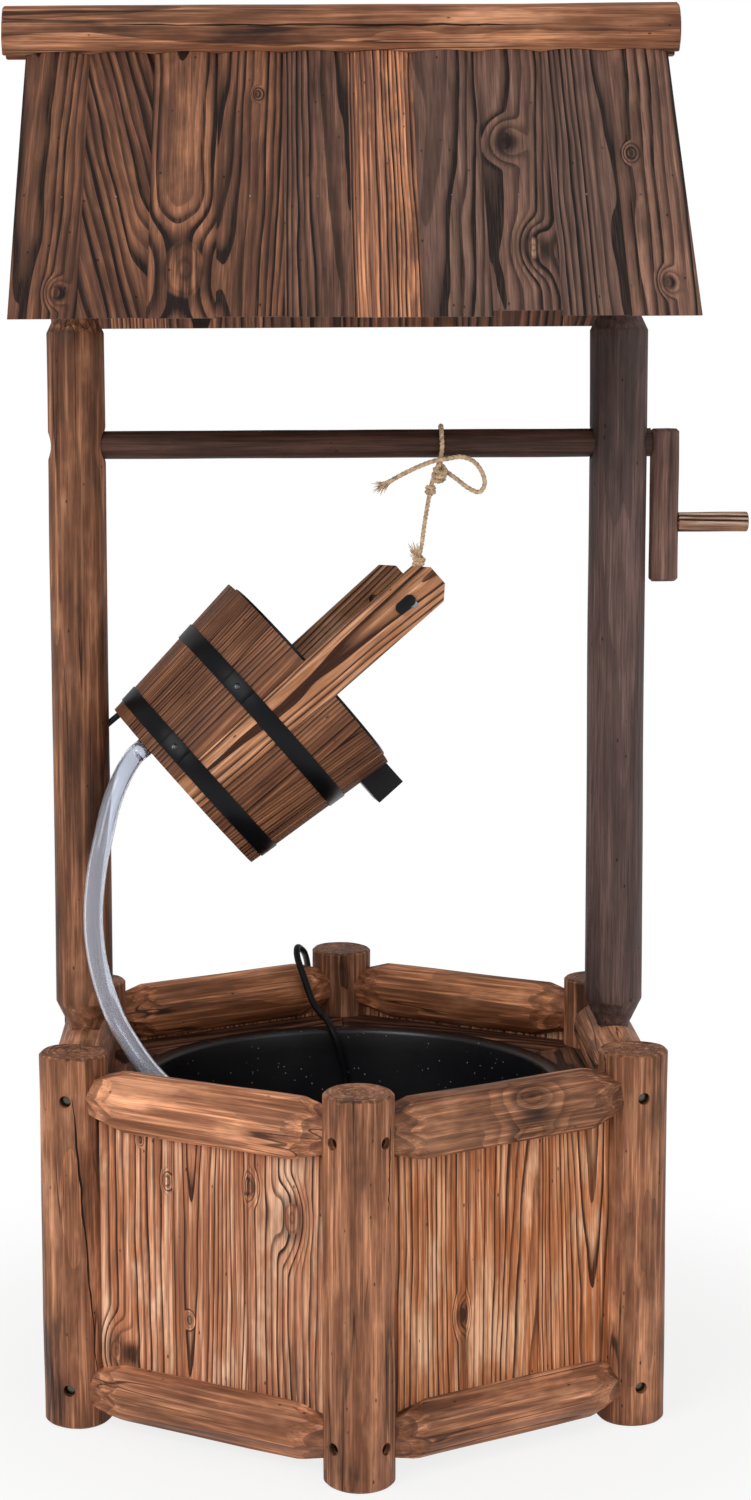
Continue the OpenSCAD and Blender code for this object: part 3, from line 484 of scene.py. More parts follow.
def log(radius, low, high, chamfer=0.0, sides=96):
    """A round log along Z with enough rings for its unevenness."""
    steps = max(4, int((high - low) / 0.008))
    body = [(low + chamfer + (high - low - 2 * chamfer) * k / steps, radius) for k in range(steps + 1)]
    if chamfer:
        end = radius * (1 - chamfer / radius)
        body = [(low, end), *body, (high, end)]
    return turned(body, sides)


def plank(width, thickness, low, high, columns, rows, bevel):
    """A board along Z with its outer face at y = 0 and its back at y = thickness."""
    obj = block((0, thickness / 2, (low + high) / 2), (width, thickness, high - low))
    edit(obj)
    ease("EDGE", lambda p: (p[0] - p[1]).xy.length < 1e-6, bevel)
    pick("EDGE", lambda p: abs(p[0].x - p[1].x) > width * 0.8)
    bpy.ops.mesh.subdivide(number_cuts=columns - 1)
    pick("EDGE", lambda p: abs(p[0].z - p[1].z) > (high - low) * 0.9)
    bpy.ops.mesh.subdivide(number_cuts=rows - 1)
    done()
    return obj


def uneven(obj, depth, across, along, seed):
    """Swells and hollows a piece, with waves of a size across its grain and another along it."""
    bpy.ops.object.empty_add(location=(seed * 0.37, seed * -0.21, seed * 0.53))
    guide = bpy.context.object
    guide.scale = (across, across, along)
    bpy.context.view_layer.update()
    clouds = bpy.data.textures.new("Waves", "CLOUDS")
    clouds.noise_scale = clouds.noise_depth = 1
    apply(obj, "DISPLACE", texture=clouds, texture_coords="OBJECT", texture_coords_object=guide,
          strength=depth, mid_level=0.5)
    bpy.data.textures.remove(clouds)
    remove(guide)
    return obj


def saw(obj, *planes):
    """Saws off what lies beyond each plane, given as a point on it and the way out."""
    edit(obj)
    for point, normal in planes:
        bpy.ops.mesh.select_all(action="SELECT")
        bpy.ops.mesh.bisect(plane_co=point, plane_no=normal, use_fill=True, clear_outer=True, threshold=1e-6)
    done()


def strokes(chance, count, turn, jitter, slope, leans, reach, tip, way):
    """The planes of flat strokes round the end of a log, as a drawknife leaves them."""
    for k in range(count):
        out = around(turn + 2 * pi * (k + chance.uniform(-jitter, jitter)) / count)
        lean = slope * chance.uniform(*leans)
        yield out * reach + Vector((0, 0, tip)), out * cos(lean) + Vector((0, 0, way * sin(lean)))


def stamp(obj, turn=Matrix(), pith=(0, 0), slope=(0, 0), seed=0, tone=1.0, burn=1.0, glow=1.0, grey=0.0, zoom=1.0,
          span=None):
    """Writes where each point lies in the tree that the piece was sawn from, and where on the piece.

    turn takes the piece's own axes to X across the board, Y into it and Z along its grain.
    """
    points = [turn @ v.co for v in obj.data.vertices]
    wide = span or max(abs(p.x) for p in points)
    low, high = min(p.z for p in points), max(p.z for p in points)
    words = ("grain", "board", "finish")
    for word in words:
        obj.data.attributes.new(word, "FLOAT_VECTOR", "POINT")
    grain, board, finish = (obj.data.attributes[word].data for word in words)
    for k, p in enumerate(points):
        grain[k].vector = (
            (p.x + pith[0] - slope[0] * p.z) / zoom, (p.y + pith[1] - slope[1] * p.z) / zoom, p.z + seed * 0.731)
        board[k].vector = (p.x / wide, grey, 2 * (p.z - low) / (high - low) - 1)
        finish[k].vector = (tone, burn, glow)
    return obj


def crack(obj, start, end, seed):
    """Opens a narrow drying crack in a log, which follows its surface and wanders a little."""
    chance = random.Random(seed)
    width = 0.0026
    points, radii = [], []
    for t in (k / 24 for k in range(25)):
        out = around(start[0] + (end[0] - start[0]) * t + chance.uniform(-0.025, 0.025))
        z = start[1] + (end[1] - start[1]) * t
        hit, place, _, _ = obj.ray_cast(out * 0.06 + Vector((0, 0, z)), -out)
        if hit:
            points.append(place - out * width / 6)
            radii.append(max(0.36, sin(pi * t) ** 0.5 * chance.uniform(0.6, 1)))
    subtract(obj, tube(points, width / 2, 8, radii=radii))
    return points


def paint_crack_shade(obj, path):
    """Darkens the inside of a crack in a stamped log to a tone of 0.1: painted shade in the groove."""
    finish = obj.data.attributes["finish"].data
    for k, vertex in enumerate(obj.data.vertices):
        near = min(path, key=lambda p: abs(p.z - vertex.co.z))
        inside = vertex.co.xy.length < near.xy.length + 0.0003
        if inside and (vertex.co.xy - near.xy).length < 0.0025 and abs(vertex.co.z - near.z) < 0.02:
            # Painted shade: the points inside the groove get a tone of 0.1
            finish[k].vector[0] = 0.1


def set_log(name, obj, place, body, wood, slot, node, degrees=32, path=None, **tree):
    """Smooths a log, stamps it, paints shade into its crack and sets it in its place."""
    stamp(smooth(obj, degrees), span=1, **tree)
    if path:
        paint_crack_shade(obj, path)
    return finish_piece(name, put(obj, place), body, wood, slot, node)


def swept(path, radii=(), tilts=(), **settings):
    """A curve along a path, with a radius or tilt at each point, made a smooth mesh."""
    curve = bpy.data.curves.new("swept", "CURVE")
    curve.dimensions = "3D"
    for key, value in settings.items():
        setattr(curve, key, value)
    line = curve.splines.new("POLY")
    line.points.add(len(path) - 1)
    for point, place in zip(line.points, path):
        point.co = (*place, 1)
    for point, radius in zip(line.points, radii):
        point.radius = radius
    for point, tilt in zip(line.points, tilts):
        point.tilt = tilt
    obj = bpy.data.objects.new("swept", curve)
    bpy.context.collection.objects.link(obj)
    alone(obj)
    bpy.ops.object.convert(target="MESH")
    obj = bpy.context.object
    edit(obj)
    close(weld=1e-6)
    bpy.ops.object.shade_smooth()
    return obj


def tube(path, radius, sides=24, caps=True, radii=()):
    return swept(path, radii, bevel_depth=radius, bevel_resolution=max(1, sides // 4 - 1), use_fill_caps=caps)


def node_copy(node):
    """A copy of a CAD node with welded points and whole faces, left in edit mode."""
    obj = copy_of(frame["nodes"][node])
    obj.parent = None
    edit(obj)
    bpy.ops.mesh.remove_doubles(threshold=2e-6)
    bpy.ops.mesh.dissolve_limited(angle_limit=radians(1))
    return obj


def dress(node, body, material, slot, bevel=0.0003):
    """A copy of a CAD node with softened edges and smooth faces, in its place."""
    obj = node_copy(node)
    done()
    if bevel:
        soften(obj, bevel)
    return finish_piece(node + "_dressed", smooth(obj), body, material, slot, node)


def sawn_copy(node, wood, slot, tone, seed):
    """A copy of a CAD node's sawn pieces, each with its grain along its longest side."""
    node_copy(node)
    bpy.ops.mesh.separate(type="LOOSE")
    done()
    pieces = list(bpy.context.selected_objects)
    for k, piece in enumerate(sorted(pieces, key=lambda o: tuple(o.data.vertices[0].co)), seed):
        soften(piece, 0.0007)
        points = [v.co for v in piece.data.vertices]
        a, b = max(((p, q) for p in points[::3] for q in points[::3]), key=lambda pair: (pair[0] - pair[1]).length)
        middle = sum(points, Vector()) / len(points)
        turn = (b - a).normalized().to_track_quat("Z", "Y").to_matrix().to_4x4().inverted() @ shift(*-middle)
        chance = random.Random(k)
        stamp(piece, turn, pith=(chance.uniform(-0.02, 0.02), 0.03), slope=(0.01, chance.uniform(-0.04, 0.04)),
              seed=k, tone=tone * chance.uniform(0.85, 1.15))
        smooth(piece)
    finish_piece(node + "_sawn", join(pieces), "base", wood, slot, node)


# Materials

# What the word after a node's kind sets
MODES = {"Math": "operation", "VectorMath": "operation", "MapRange": "interpolation_type", "Mix": "data_type",
         "TexWhiteNoise": "noise_dimensions", "Attribute": "attribute_name"}


def wire(node, inputs):
    """Gives the inputs of a node their links and values."""
    for key, value in inputs.items():
        socket = node.inputs[key]
        if isinstance(value, bpy.types.NodeSocket):
            node.id_data.links.new(value, socket)
        else:
            socket.default_value = (*value, 1) if socket.type == "RGBA" else value


def add_node(tree, kind, *values, out=None, clamp=False, stops=(), **named):
    """Adds a node with its settings and links, and gives back an output, the first in use if none is named."""
    kind, _, mode = kind.partition(" ")
    node = tree.nodes.new("ShaderNode" + kind)
    if mode:
        setattr(node, MODES[kind], mode)
    if clamp:
        node.use_clamp = True
    for k, (place, shade) in enumerate(stops):
        band = node.color_ramp.elements
        element = band[k] if k < len(band) else band.new(place)
        element.position, element.color = place, (*shade, 1)
    wire(node, {**dict(enumerate(values)), **named})
    return node.outputs[out] if out else next(socket for socket in node.outputs if socket.enabled)


def blank(name):
    """An empty material with a Principled shader, what adds a node to it, and the shader."""
    material = bpy.data.materials.new(name)
    material.use_nodes = True
    material.node_tree.nodes.clear()
    add = partial(add_node, material.node_tree)
    shader = add("BsdfPrincipled")
    output = material.node_tree.nodes.new("ShaderNodeOutputMaterial")
    wire(output, {"Surface": shader})
    return material, add, shader.node


def fir(name, woods, ring=0.0042, wander=2.0, contrast=1.0, blotch=0.5, edge=0.6, rough=0.56, knots=(),
        stretch=(1, 0.55, 0.55), random_knots=0.0, summer=0.35, sawn=1.0, cracks=0.0):
    """Scorched and brushed fir: soft springwood burnt away between hard dark rings.

    woods are the colours of the springwood, its highlights and the rings, summer is where in a year's growth the
    dark wood begins, and sawn how much the fibres change with depth.
    """
    early, bright, late, char = (hue(word) for word in (*woods.split(), "char"))
    material, add, shader = blank(name)
    grain, board, finish = (add("Attribute " + word, out="Vector") for word in ("grain", "board", "finish"))
    across, grey, along = add("SeparateXYZ", board).node.outputs
    tone, burn, glow = add("SeparateXYZ", finish).node.outputs
    # The rings wander over some 30 mm across the grain and 200 mm along it. Fibres are 0.8 mm wide and 40 mm
    # long, streaks 4 mm by 130 mm, and patches 40 mm by 110 mm.
    slow, fibre, streak, patch = (
        add("TexNoise", add("VectorMath MULTIPLY", grain, scale), Scale=1, Detail=detail, Roughness=share)
        for scale, detail, share in (((32, 32, 5), 2, 0.5), ((1200, 1200 * sawn, 26), 3, 0.65),
                                     ((240, 240 * sawn, 8), 3, 0.6), ((26, 26, 9), 4, 0.62)))
    radius = add("VectorMath LENGTH", add("VectorMath MULTIPLY", grain, (1 / ring, 1 / ring, 0)))
    phase = add("Math MULTIPLY_ADD", slow, wander, radius)
    core = halo = near = None
    found = []
    for x, y, z, size in knots:
        away = add("VectorMath SUBTRACT", add("TexCoord", out="Object"), (x, y, z))
        gap = add("VectorMath LENGTH", add("VectorMath MULTIPLY", away, stretch))
        found.append((add("Math DIVIDE", gap, size), None))
    if random_knots:
        # Small knots, one in some cells 90 mm wide and 220 mm long
        cell = add("TexVoronoi", add("VectorMath MULTIPLY", grain, (11, 0, 4.5)), Scale=1).node
        odds = add("SeparateColor", cell.outputs["Color"]).node.outputs
        size = add("MapRange", odds[1], 0, 1, 0.025, 0.06)
        found.append((add("Math DIVIDE", cell.outputs["Distance"], size), add("Math LESS_THAN", odds[0], random_knots)))
    for gap, wanted in found:
        gap = add("Math MULTIPLY", gap, add("MapRange", slow, 0.3, 0.7, 0.75, 1.3))
        swirl = add("MapRange SMOOTHERSTEP", gap, 0.6, 3.6, 2.1, 0)
        inner = add("MapRange SMOOTHSTEP", gap, 0.8, 1.0, 1, 0)
        outer = add("MapRange SMOOTHSTEP", gap, 0.9, 1.9, 1, 0)
        if wanted:
            swirl, inner, outer = (add("Math MULTIPLY", value, wanted) for value in (swirl, inner, outer))
        phase = add("Math ADD", phase, swirl)
        core = add("Math MAXIMUM", core, inner) if core else inner
        halo = add("Math MAXIMUM", halo, outer) if halo else outer
        near = add("Math MINIMUM", near, gap) if near else gap
    strength = add("MapRange", add("TexWhiteNoise 1D", W=add("Math FLOOR", phase)), 0, 1, 0.3, 1)
    rings = add("ValToRGB", add("Math FRACT", phase), stops=[(place, (share,) * 3) for place, share in (
        (0, 0.25), (0.06, 0.0), (summer, 0.1), (summer + 0.42 * (1 - summer), 0.6),
        (summer + 0.66 * (1 - summer), 1.0), (1, 1.0))])
    rings = add("Math MULTIPLY", rings, strength)
    # The flame's soot lies in patches, round knots and along sawn edges
    flame = add("Math MULTIPLY", add("MapRange SMOOTHSTEP", patch, 0.46, 0.7, 0, 1), burn)
    rim = add("MapRange SMOOTHSTEP", add("Math ABSOLUTE", across), 0.7, 1.03, 0, edge)
    tips = add("MapRange SMOOTHSTEP", add("Math ABSOLUTE", along), 0.8, 1.0, 0, edge)
    rim = add("Math MULTIPLY", add("Math MAXIMUM", rim, tips), add("MapRange", streak, 0.3, 0.7, 0.2, 1.3))
    soot = add("Math MAXIMUM", add("Math MULTIPLY", flame, blotch), rim)
    if halo:
        soot = add("Math MULTIPLY_ADD", halo, 0.85, soot, clamp=True)
    # Colour: springwood, its highlights, the dark rings and then the soot
    scraped = add("MapRange SMOOTHSTEP", patch, 0.5, 0.3, 0, 0.9)
    light = add("Math MAXIMUM", scraped, add("MapRange", streak, 0.48, 0.72, 0, 0.85))
    wood = add("Mix RGBA", add("Math MULTIPLY", light, glow, clamp=True), A=early, B=bright)
    thin = add("MapRange", fibre, 0.35, 0.62, 0.55 * contrast, contrast)
    wood = add("Mix RGBA", add("Math MULTIPLY", rings, thin, clamp=True), A=wood, B=late)
    share = add("Math MULTIPLY", soot, add("MapRange", rings, 0, 1, 0.6, 1.2), clamp=True)
    wood = add("Mix RGBA", share, A=wood, B=char)
    if core:
        middle = tuple(0.5 * a + 0.5 * b for a, b in zip(early, late))
        heart = add("Mix RGBA", add("MapRange", patch, 0.4, 0.6, 0, 1), A=middle, B=late)
        heart = add("Mix RGBA", add("MapRange", streak, 0.5, 0.66, 0, 0.8), A=heart, B=bright)
        turns = add("MapRange", add("Math PINGPONG", near, 0.27), 0.12, 0.27, 0, 0.5)
        heart = add("Mix RGBA", turns, A=heart, B=late)
        wood = add("Mix RGBA", add("Math MULTIPLY", core, 0.9), A=wood, B=heart)
    # Pores and specks about 1 mm wide and 2 mm long, in some cells of 7 mm by 14 mm
    grit = add("TexVoronoi", add("VectorMath MULTIPLY", grain, (150, 150, 70)), Scale=1).node
    speck = add("MapRange SMOOTHSTEP", grit.outputs["Distance"], 0.06, 0.15, 0.75, 0)
    rare = add("Math LESS_THAN", add("SeparateColor", grit.outputs["Color"]), 0.22)
    speck = add("Math MULTIPLY", speck, rare)
    wood = add("Mix RGBA", speck, A=wood, B=char)
    if cracks:
        # Drying cracks about 0.5 mm wide, in places, along the grain
        line, spots = (add("TexNoise", add("VectorMath MULTIPLY", grain, scale), Scale=1, Detail=1)
                       for scale in ((75, 75, 2.5), (24, 24, 8)))
        line = add("Math ABSOLUTE", add("Math SUBTRACT", line, 0.5))
        split = add("MapRange SMOOTHSTEP", line, 0.003, 0.014, 1, 0)
        split = add("Math MULTIPLY", split, add("MapRange", spots, 0.5, 0.58, 0, cracks))
        wood = add("Mix RGBA", split, A=wood, B=char)
        speck = add("Math MAXIMUM", speck, split)
    shade = add("Math MULTIPLY", add("MapRange", fibre, 0.28, 0.72, 0.55, 1.45),
                add("MapRange", streak, 0.3, 0.7, 0.72, 1.28))
    wood = add("VectorMath SCALE", wood, Scale=add("Math MULTIPLY", shade, tone))
    wood = add("HueSaturation", Saturation=add("Math SUBTRACT", 1, grey), Color=wood)
    # Brushing leaves the hard rings proud of the springwood
    height = add("Math SUBTRACT", add("Math MULTIPLY_ADD", fibre, 0.4, rings), speck)
    # Open fibres scatter most of what a smooth film would mirror
    wire(shader, {"Base Color": wood, "Roughness": add("MapRange", rings, 0, 1, rough + 0.08, rough - 0.1),
                  "Specular IOR Level": 0.22, "Normal": add("Bump", 0.8, 0.0007, Height=height)})
    return material


def log_fir(name, **more):
    """The wood of the peeled logs, whose rings show as broad streaks."""
    return fir(name, "log_early log_bright log_late", **{
        "wander": 3.2, "contrast": 0.62, "blotch": 0.8, "random_knots": 0.3, "cracks": 0.8, **more})


def roof_fir(name, **more):
    """The wood of the flat sawn boards, with hard dark rings."""
    return fir(name, "roof_early roof_bright roof_late", **{
        "wander": 2.6, "contrast": 1.5, "edge": 0.5, "sawn": 0.2, **more})


def moulded_plastic(name, shade="plastic", rough=0.38, grit=0.0001, gloss=0.2, drops_with_painted_glints=False):
    """Moulded ABS: an even black with a faint orange-peel skin that breaks up its gloss."""
    if name in bpy.data.materials:
        return bpy.data.materials[name]
    shade = hue(shade)
    material, add, shader = blank(name)
    place = add("TexCoord", out="Object")
    # Dimples 1 mm apart, and a haze that changes over some 55 mm
    height = skin = add("TexNoise", place, Scale=900, Detail=2)
    haze = add("TexNoise", place, Scale=18, Detail=3)
    dull = add("Mix RGBA", haze, A=[c * 0.8 for c in shade], B=[c * 1.35 + 0.002 for c in shade])
    if drops_with_painted_glints:
        # Splashed droplets about 1 mm across, in nearly half of the cells of 5 mm: bumps whose glints are painted into
        # the colour as a pale grey
        cell = add("TexVoronoi", place, Scale=210).node.outputs
        wanted = add("Math LESS_THAN", add("SeparateColor", cell["Color"]), 0.45)
        drop = add("Math MULTIPLY", add("MapRange SMOOTHSTEP", cell["Distance"], 0.05, 0.15, 1, 0), wanted)
        # Painted highlight: the droplets' glints as a pale blue-grey
        dull = add("Mix RGBA", drop, A=dull, B=(0.35, 0.37, 0.42))
        height = add("Math MULTIPLY_ADD", drop, 6, skin)
    wire(shader, {"Base Color": dull, "Roughness": add("MapRange", haze, 0, 1, rough - 0.08, rough + 0.1),
                  "Specular IOR Level": gloss, "Normal": add("Bump", 0.5, grit, Height=height)})
    return material


def steel(name, shade, rough, metallic=1.0, gloss=0.5):
    """Cold-rolled steel: rolling lines along the strip give its sheen a grain."""
    shade = hue(shade)
    material, add, shader = blank(name)
    place = add("TexCoord", out="Object")
    # Lines 0.5 mm wide and 3 mm long, and worn patches of some 33 mm
    grain = add("TexNoise", add("VectorMath MULTIPLY", place, (1, 1, 6)), Scale=320, Detail=3)
    patch = add("TexNoise", place, Scale=30, Detail=3)
    worn = add("Mix RGBA", patch, A=[c * 0.75 for c in shade], B=[min(1, c * 1.3) for c in shade])
    wire(shader, {"Base Color": worn, "Roughness": add("MapRange", patch, 0, 1, rough - 0.1, rough + 0.12),
                  "Metallic": metallic, "Specular IOR Level": gloss,
                  "Normal": add("Bump", 0.25, 0.0001, Height=grain)})
    return material


def clear_vinyl():
    """Extruded soft PVC: clear with a milky blue cast, darker where its walls are seen edge on."""
    material, add, shader = blank("clear_pvc_hose")
    shade = hue("hose")
    # The milky clouds are some 17 mm wide
    cloud = add("TexNoise", add("TexCoord", out="Object"), Scale=60, Detail=3)
    wire(shader, {"Base Color": add("Mix RGBA", cloud, A=[c * 0.95 for c in shade], B=shade),
                  "Roughness": add("MapRange", cloud, 0, 1, 0.06, 0.14), "Transmission Weight": 0.85, "IOR": 1.42})
    return material


def jute_fibre():
    """Spun jute: dull golden fibres with darker ones between them."""
    material, add, shader = blank("spun_jute")
    shade = hue("jute")
    # Fibres of a strand, drawn 0.7 mm wide so that they show, in clumps of 4 mm
    fibre, clump = (add("TexNoise", add("TexCoord", out="Object"), Scale=scale, Detail=2) for scale in (1500, 260))
    tint = add("ValToRGB", add("Math MULTIPLY_ADD", fibre, 0.5, clump), stops=[
        (0.5, [c * 0.42 for c in shade]), (0.72, shade), (0.95, [min(1, c * 1.35) for c in shade])])
    wire(shader, {"Base Color": tint, "Roughness": 0.9, "Sheen Weight": 0.25,
                  "Normal": add("Bump", 0.8, 0.0003, Height=fibre)})
    return material


# Camera and cords

# The hose's two ends in mm: across the bucket's bottom, and the mouth of the pump's outlet
FITTING_X = -45
OUTLET_X, OUTLET_Y, OUTLET_Z = -60, -20, 125


class FOUNTAIN_OT_camera(bpy.types.Operator):
    """Sets the camera where the photograph was taken"""
    bl_idname = "fountain.camera"
    bl_label = "Camera"

    def execute(self, context):
        bpy.ops.object.camera_add(location=(WELL_X - 0.0588, -2.196, 0.8249))
        camera = context.scene.camera = context.object
        camera.rotation_euler = (spin(radians(90 - 6.6), "X") @ spin(radians(-0.33))).to_euler()
        camera.data.lens, camera.data.shift_x, camera.data.shift_y = 64.56, 0.066, -0.0412
        return {"FINISHED"}


class FOUNTAIN_OT_hose(bpy.types.Operator):
    """Makes the clear hose from the pump up to the bucket"""
    bl_idname = "fountain.hose"
    bl_label = "Clear Hose"

    def execute(self, context):
        sizes = context.scene.fountain_cords
        # From the bucket's fitting down to the pump's outlet
        route = [in_bucket(FITTING_X, 0, -8), in_bucket(FITTING_X, 0, -14)] + well(
            (-185, -19, 502), (-194, -28, 480), (-200, -36, 455), (-206, -42, 425), (-209, -44, 387),
            (-205, -48, 350), (-193, -56, 313), (-178, -68, 289), (-160, -78, 267), (-133, -72, 238),
            (-112, -58, 212), (-90, -42, 186), (-70, -27, 164), (OUTLET_X, OUTLET_Y, OUTLET_Z + 16),
            (OUTLET_X, OUTLET_Y, OUTLET_Z + 8))
        path = [in_bucket(FITTING_X, 0, -2.1), *spline(route, 5), at(OUTLET_X, OUTLET_Y, OUTLET_Z + 0.1)][::-1]
        hose = apply(tube(path, sizes.hose / 2, sides=32, caps=False), "SOLIDIFY", thickness=sizes.hose_wall,
                     offset=-1)
        bpy.ops.object.shade_smooth()
        finish_piece("clear_hose", hose, None, clear_vinyl(), "clear_vinyl", "hose")
        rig.blend(hose, "base", "bucket", path[0], path[-1])
        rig.cord(hose, exit=path[0], length=path_length(path), diameter=sizes.hose, far_end="object",
                stiffness="medium", lay="hanging", path=path)
        return {"FINISHED"}


def laid_rope(path, width):
    """A rope of three strands: a three-lobed section that turns once in 12 mm along the path."""
    strand, offset = width * 0.3, width * 0.2
    lobes = bpy.data.curves.new("lobes", "CURVE")
    ring = lobes.splines.new("POLY")
    ring.points.add(23)
    for k, point in enumerate(ring.points):
        a = 2 * pi * k / 24
        b = (a + pi / 3) % (2 * pi / 3) - pi / 3
        r = offset * cos(b) + sqrt(strand ** 2 - (offset * sin(b)) ** 2)
        point.co = (*around(a) * r, 1)
    ring.use_cyclic_u = True
    section = bpy.data.objects.new("lobes", lobes)
    bpy.context.collection.objects.link(section)
    tilts = [2 * pi * path_length(path[:k + 1]) / 0.012 for k in range(len(path))]
    rope = swept(path, tilts=tilts, bevel_mode="OBJECT", bevel_object=section, use_fill_caps=True)
    remove(section)
    return rope


def tuft(start, way, reach, count, seed):
    """Frayed fibres at the end of a rope."""
    chance = random.Random(seed)
    result = []
    for _ in range(count):
        lean, bend = (Vector([chance.uniform(-1, 1) for _ in range(3)]) * share for share in (0.3, 0.16))
        far = reach * chance.uniform(0.6, 1)
        line = [start + (way + lean * t + bend * t * t) * (far * t) + lean * 0.004 for t in (0, 0.35, 0.7, 1)]
        result.append(tube(line, 0.00042, 4, radii=(1, 0.9, 0.7, 0.35)))
    return join(result)


def loops(place, way, wide, turns):
    """The middle line of a few uneven turns round a rope, whose ends tuck in."""
    side = way.orthogonal().normalized()
    over = way.cross(side)
    steps = int(turns * 16)
    line = []
    for t in (k / steps for k in range(steps + 1)):
        a = 2 * pi * turns * t
        reach = wide * (0.55 + 0.45 * min(1, 6 * t, 6 * (1 - t))) * (1 + 0.12 * sin(2.3 * a))
        lift = (t - 0.5) * 0.0037 * turns + 0.0011 * sin(a + 0.6)
        line.append(place + side * (reach * cos(a)) + over * (reach * 0.9 * sin(a)) + way * lift)
    return line


class FOUNTAIN_OT_rope(bpy.types.Operator):
    """Makes the jute rope that is knotted round the crossbar and the bucket's rod"""
    bl_idname = "fountain.rope"
    bl_label = "Jute Rope"

    def execute(self, context):
        width = context.scene.fountain_cords.rope
        knot = in_bucket(0, -90, 227)
        side, over = ((BUCKET.to_3x3() @ Vector(way)).normalized() for way in ((1, 0, 0.9), (-0.9, 0, 1)))
        # The bow, the turn round the crossbar, the fall, the loop round the rod and the lower end
        wrap = 14.25
        route = well(
            (33, -15, 740), (41, -15.5, 744.5), (50, -16, 749), (60, -17, 753.5), (70, -19, 757), (80, -19.5, 758.5),
            (91, -19, 760), (101, -18, 756.5), (108, -17, 748), (110.5, -16, 738), (106, -15, 731.5),
            (97, -14.5, 735), (88, -13.5, 742), (80, -10, 748), (76, -3, 752.5),
            *((76, wrap * sin(radians(a)), 770.5 - wrap * cos(radians(a))) for a in range(25, 300, 45)),
            (73, -15, 753.5), (68, -17, 740), (65, -23, 727), (61, -35, 708), (57, -49, 686))
        route += [knot + 6.3 * MM * (side * cos(radians(a)) - over * sin(radians(a))) for a in range(0, 181, 45)]
        path = spline(route + well((43, -66, 664), (49, -61, 672), (55, -57, 679)), 10)
        jute = jute_fibre()
        rope = finish_piece("jute_rope", laid_rope(path, width), None, jute, "jute", "rope")
        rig.blend(rope, "base", "bucket", at(68, -17, 748), knot)
        ends = []
        for name, end, way, body, seed in (
                ("upper_tuft", path[0], path[0] - path[3], "base", 3),
                ("lower_tuft", path[-1], Vector((-0.35, 0, 1)), "bucket", 5)):
            way.normalize()
            ends.append(finish_piece(name, tuft(end - way * 0.002, way, 0.0135, 70, seed), body, jute, "jute"))
        # The loops of the knots, which hide where the rope passes through itself
        for name, place, way, wide, turns, body in (
                ("bar_knot", (74, -15.5, 746), (0.25, -0.25, 1), 4.6, 3.4, "base"),
                ("lower_knot", (66.5, -20, 733), (0.3, 0.4, 1), 3.0, 1.9, "base"),
                ("rod_knot", (55, -56, 678), (0.3, 0.3, 1), 3.4, 2.2, "bucket")):
            line = loops(at(*place), Vector(way).normalized(), wide * MM, turns)
            ends.append(finish_piece(name, laid_rope(line, width), body, jute, "jute"))
        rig.cord(rope, exit=path[0], length=path_length(path), diameter=width, far_end="bare",
                stiffness="limp", lay="hanging", path=path, with_pieces=ends)
        return {"FINISHED"}


# The coil's middle, outer radius, step from turn to turn, turns in each layer and lowest height, in mm
COIL_X, COIL_Y, COIL_WIDE, COIL_STEP, COIL_TURNS, COIL_Z = -148, 256, 43, 6.6, 2.25, 3.9
PLUG_X, PLUG_Y, PLUG_Z = -192, 300, 7


def coil_ring(t):
    """The middle of the coiled lead after some turns: in, up a layer, and out again."""
    climb = COIL_TURNS + 0.5
    inner = COIL_WIDE - COIL_STEP * COIL_TURNS
    if t < COIL_TURNS:
        r, z = COIL_WIDE - COIL_STEP * t, 0
    elif t < climb:
        r, z = inner - 1.2 * sin(2 * pi * (t - COIL_TURNS)), (t - COIL_TURNS) * 2
    else:
        r, z = inner + COIL_STEP * (t - climb), 1
    a = pi / 2 + 2 * pi * t
    return (COIL_X + r * cos(a), COIL_Y + r * sin(a), COIL_Z + COIL_STEP * z)


